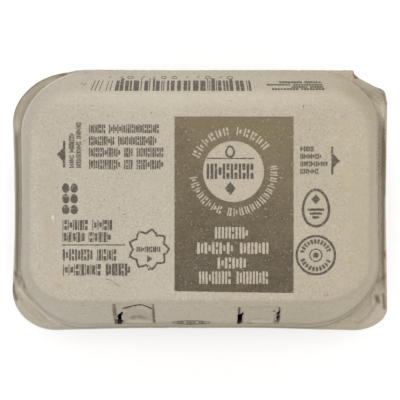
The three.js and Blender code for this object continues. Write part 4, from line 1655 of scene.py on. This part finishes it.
def pulp_material():
    """Grey-brown pulp: clouded, grained, fibrous, speckled, stained, with painted shade and painted
    highlights, and marked by wire mesh.
    """
    material, nodes = new_material("moulded_pulp")
    place = nodes.out("ShaderNodeTexCoord", output="Object")
    mottle = add_noise(nodes, place, 2.2, 3.0, 0.6)
    grain = add_noise(nodes, place, 0.62, 4.0, 0.6)
    ragged = add_range(nodes, mottle, (0.3, 0.7), (-0.35, 0.35))
    colour = pulp_tone(nodes, place, mottle, grain)
    colour, pale_share = with_fibres(nodes, place, colour)
    colour = with_patches(nodes, place, ragged, colour)
    colour = with_painted_light(nodes, grain, colour)
    height = add_part(nodes, mottle, 0.3, add_math(nodes, "MULTIPLY", grain, 0.55))
    height = add_part(nodes, pale_share, 0.18, height)
    colour, height = with_wire_marks(nodes, place, ragged, colour, height)
    add_surface(nodes, {
        "Base Color": colour, "Roughness": add_ramp(nodes, mottle, [(0.3, 0.86), (0.7, 0.98)]),
        "Normal": nodes.out("ShaderNodeBump", {"Height": height, "Strength": 0.6, "Distance": 0.00035}),
        "Specular IOR Level": 0.25,
    })
    return material


WEAVE_DEGREES = 48  # how the mould's mesh lies under the ink
INK_BACK_TO_FRONT = (0.034, -0.037)  # in metres along Y
# deep and thin are an ink's own colours and bare the pulp's; fade takes it towards deep from the back
# of the lid to the front, worn is how much of it is missing, and weave how far the mesh shows in it
INKS = dict(
    brown_ink=dict(
        deep=(0.072, 0.056, 0.034), thin=(0.165, 0.129, 0.073), bare=(0.36, 0.315, 0.24),
        fade=0.5, worn=0.0, weave=0.15,
    ),
    dark_ink=dict(
        deep=(0.030, 0.025, 0.020), thin=(0.086, 0.072, 0.056), bare=(0.40, 0.355, 0.285),
        fade=0.1, worn=0.03, weave=0.0,
    ),
)
FIBRE_COLOURS = dict(
    dark_fleck=((0.13, 0.10, 0.07), (0.22, 0.175, 0.125)),
    pale_fibre=((0.45, 0.40, 0.32), (0.66, 0.60, 0.50)),
    dark_fibre=((0.10, 0.07, 0.045), (0.26, 0.20, 0.13)),
)


def bare_shares(nodes, place, cover, grain, worn):
    """How bare the pulp is left: where the ink missed it, along its fibres and in its pores."""
    missed = add_math(nodes, "ADD", grain, add_math(nodes, "MULTIPLY", cover, 0.5))
    streaks = add_streaks(nodes, place, 38, 2.4, 0.4)
    pores = add_noise(nodes, place, 0.4, 2.0, 0.8)
    return [
        add_ramp(nodes, missed, [(0.84 - worn, 0.0), (1.0 - worn * 0.6, 0.8)]),
        add_ramp(nodes, streaks, [(0.67, 0.0), (0.80, 0.35)]),
        add_ramp(nodes, pores, [(0.52, 0.0), (0.75, 0.3)]),
    ]


def ink_material(name, deep, thin, bare, fade, worn, weave):
    """Ink soaked into pulp: thinner in patches, with pale flecks where it missed the fibres."""
    material, nodes = new_material(name)
    place = nodes.out("ShaderNodeTexCoord", output="Object")
    across = nodes.add("ShaderNodeSeparateXYZ", {"Vector": place}).outputs["Y"]
    cover = add_noise(nodes, place, 1.6, 4.0, 0.6)
    broad = add_noise(nodes, place, 14, 2.0)
    grain = add_noise(nodes, place, 0.7, 4.0, 0.7)
    faded = add_range(nodes, across, INK_BACK_TO_FRONT, (0.0, fade))
    tone = add_part(nodes, cover, 0.5, add_part(nodes, broad, 0.5, faded))
    colour = add_ramp(nodes, tone, [(0.55, thin), (1.0, deep)])
    for share in bare_shares(nodes, place, cover, grain, worn):
        colour = add_mix(nodes, share, colour, bare)
    wires = add_wires(nodes, place, WEAVE_DEGREES, 360.0, 2.5)
    showing = add_ramp(nodes, add_math(nodes, "ADD", faded, broad), [(0.9, 0.0), (1.0, weave)])
    colour = add_mix(nodes, add_math(nodes, "MULTIPLY", wires, showing), colour, bare)
    add_surface(nodes, {
        "Base Color": colour, "Roughness": add_ramp(nodes, cover, [(0.3, 0.78), (0.7, 0.92)]),
        "Normal": nodes.out("ShaderNodeBump", {"Height": grain, "Strength": 0.45, "Distance": 0.0003}),
        "Specular IOR Level": 0.3,
    })
    return material


def fibre_material(name, dark, light):
    """A loose fibre's or a fleck's finish, between two shades."""
    material, nodes = new_material(name)
    place = nodes.out("ShaderNodeTexCoord", output="Object")
    tone = add_noise(nodes, place, 0.6, 2.0)
    add_surface(nodes, {
        "Base Color": add_ramp(nodes, tone, [(0.3, dark), (0.7, light)]),
        "Roughness": add_ramp(nodes, tone, [(0.3, 0.75), (0.7, 0.9)]),
    })
    return material


# The stage

FLOOR_REACH = 1500.0
FLOOR_GREY = 0.62
FLOOR_GLOW = 0.38  # the floor lights itself a little, to be as white as the photo's ground
SKY_STRENGTH = 0.81
# Place, sizes and power of each lamp, in metres and watts, and where both point
LAMPS = dict(
    back_softbox=((0, 0.9, 0.9), (1.4, 0.7), 4),
    top_softbox=((0, 0, 1.6), (1.0, 1.0), 8.5),
)
LAMPS_AIM = (0, 0, 0.03)
CAMERA_ABOVE_RIM = 800.0
SENSOR_WIDTH = 36.0
PHOTO_SPAN = 162.56  # millimetres across the picture at the rim's height


def make_stage():
    corners = [(-1, -1, 0), (1, -1, 0), (1, 1, 0), (-1, 1, 0)]
    floor = mesh_piece("floor", np.array(corners) * FLOOR_REACH, [(0, 1, 2, 3)])
    material, nodes = new_material("pale_floor")
    add_surface(nodes, {
        "Base Color": (FLOOR_GREY, FLOOR_GREY, FLOOR_GREY, 1), "Roughness": 0.8,
        "Emission Color": (1, 1, 1, 1), "Emission Strength": FLOOR_GLOW,
    })
    floor.data.materials.append(material)


def area_light(name, place, sizes, power):
    data = bpy.data.lights.new(name, "AREA")
    data.shape = "RECTANGLE"
    data.size, data.size_y = sizes
    data.energy = power
    lamp = bpy.data.objects.new(name, data)
    lamp.location = place
    lamp.rotation_euler = (Vector(LAMPS_AIM) - Vector(place)).to_track_quat("-Z", "Y").to_euler()
    bpy.context.scene.collection.objects.link(lamp)


def make_camera():
    data = bpy.data.cameras.new("camera")
    data.sensor_width = SENSOR_WIDTH
    data.lens = SENSOR_WIDTH * CAMERA_ABOVE_RIM / PHOTO_SPAN
    data.clip_start = 0.05
    camera = bpy.data.objects.new("camera", data)
    camera.location = (0, 0, (RIM + CAMERA_ABOVE_RIM) * MM)
    bpy.context.scene.collection.objects.link(camera)
    bpy.context.scene.camera = camera


def make_light():
    scene = bpy.context.scene
    scene.view_settings.view_transform = "Standard"
    world = bpy.data.worlds.new("studio")
    world.use_nodes = True
    background = world.node_tree.nodes["Background"]
    background.inputs["Color"].default_value = (1, 1, 1, 1)
    background.inputs["Strength"].default_value = SKY_STRENGTH
    scene.world = world
    for name, (place, sizes, power) in LAMPS.items():
        area_light(name, place, sizes, power)


# The whole carton

pulp = pulp_material()
finishes = {name: ink_material(name, **look) for name, look in INKS.items()}
finishes |= {name: fibre_material(name, *colours) for name, colours in FIBRE_COLOURS.items()}

lid = make_lid()
pieces = [lid, make_flange(), make_hinge(), make_tray(pulp)]
for side, latch in LATCHES.items():
    pieces.append(make_latch("latch_" + side, latch))
for piece in pieces:
    piece.data.materials.clear()
    piece.data.materials.append(pulp)
pieces += make_print(lid, finishes)
pieces += make_fibres(lid, finishes)
for piece in pieces:
    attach(piece, "root")
    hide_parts("carton")

make_stage()
make_camera()
make_light()
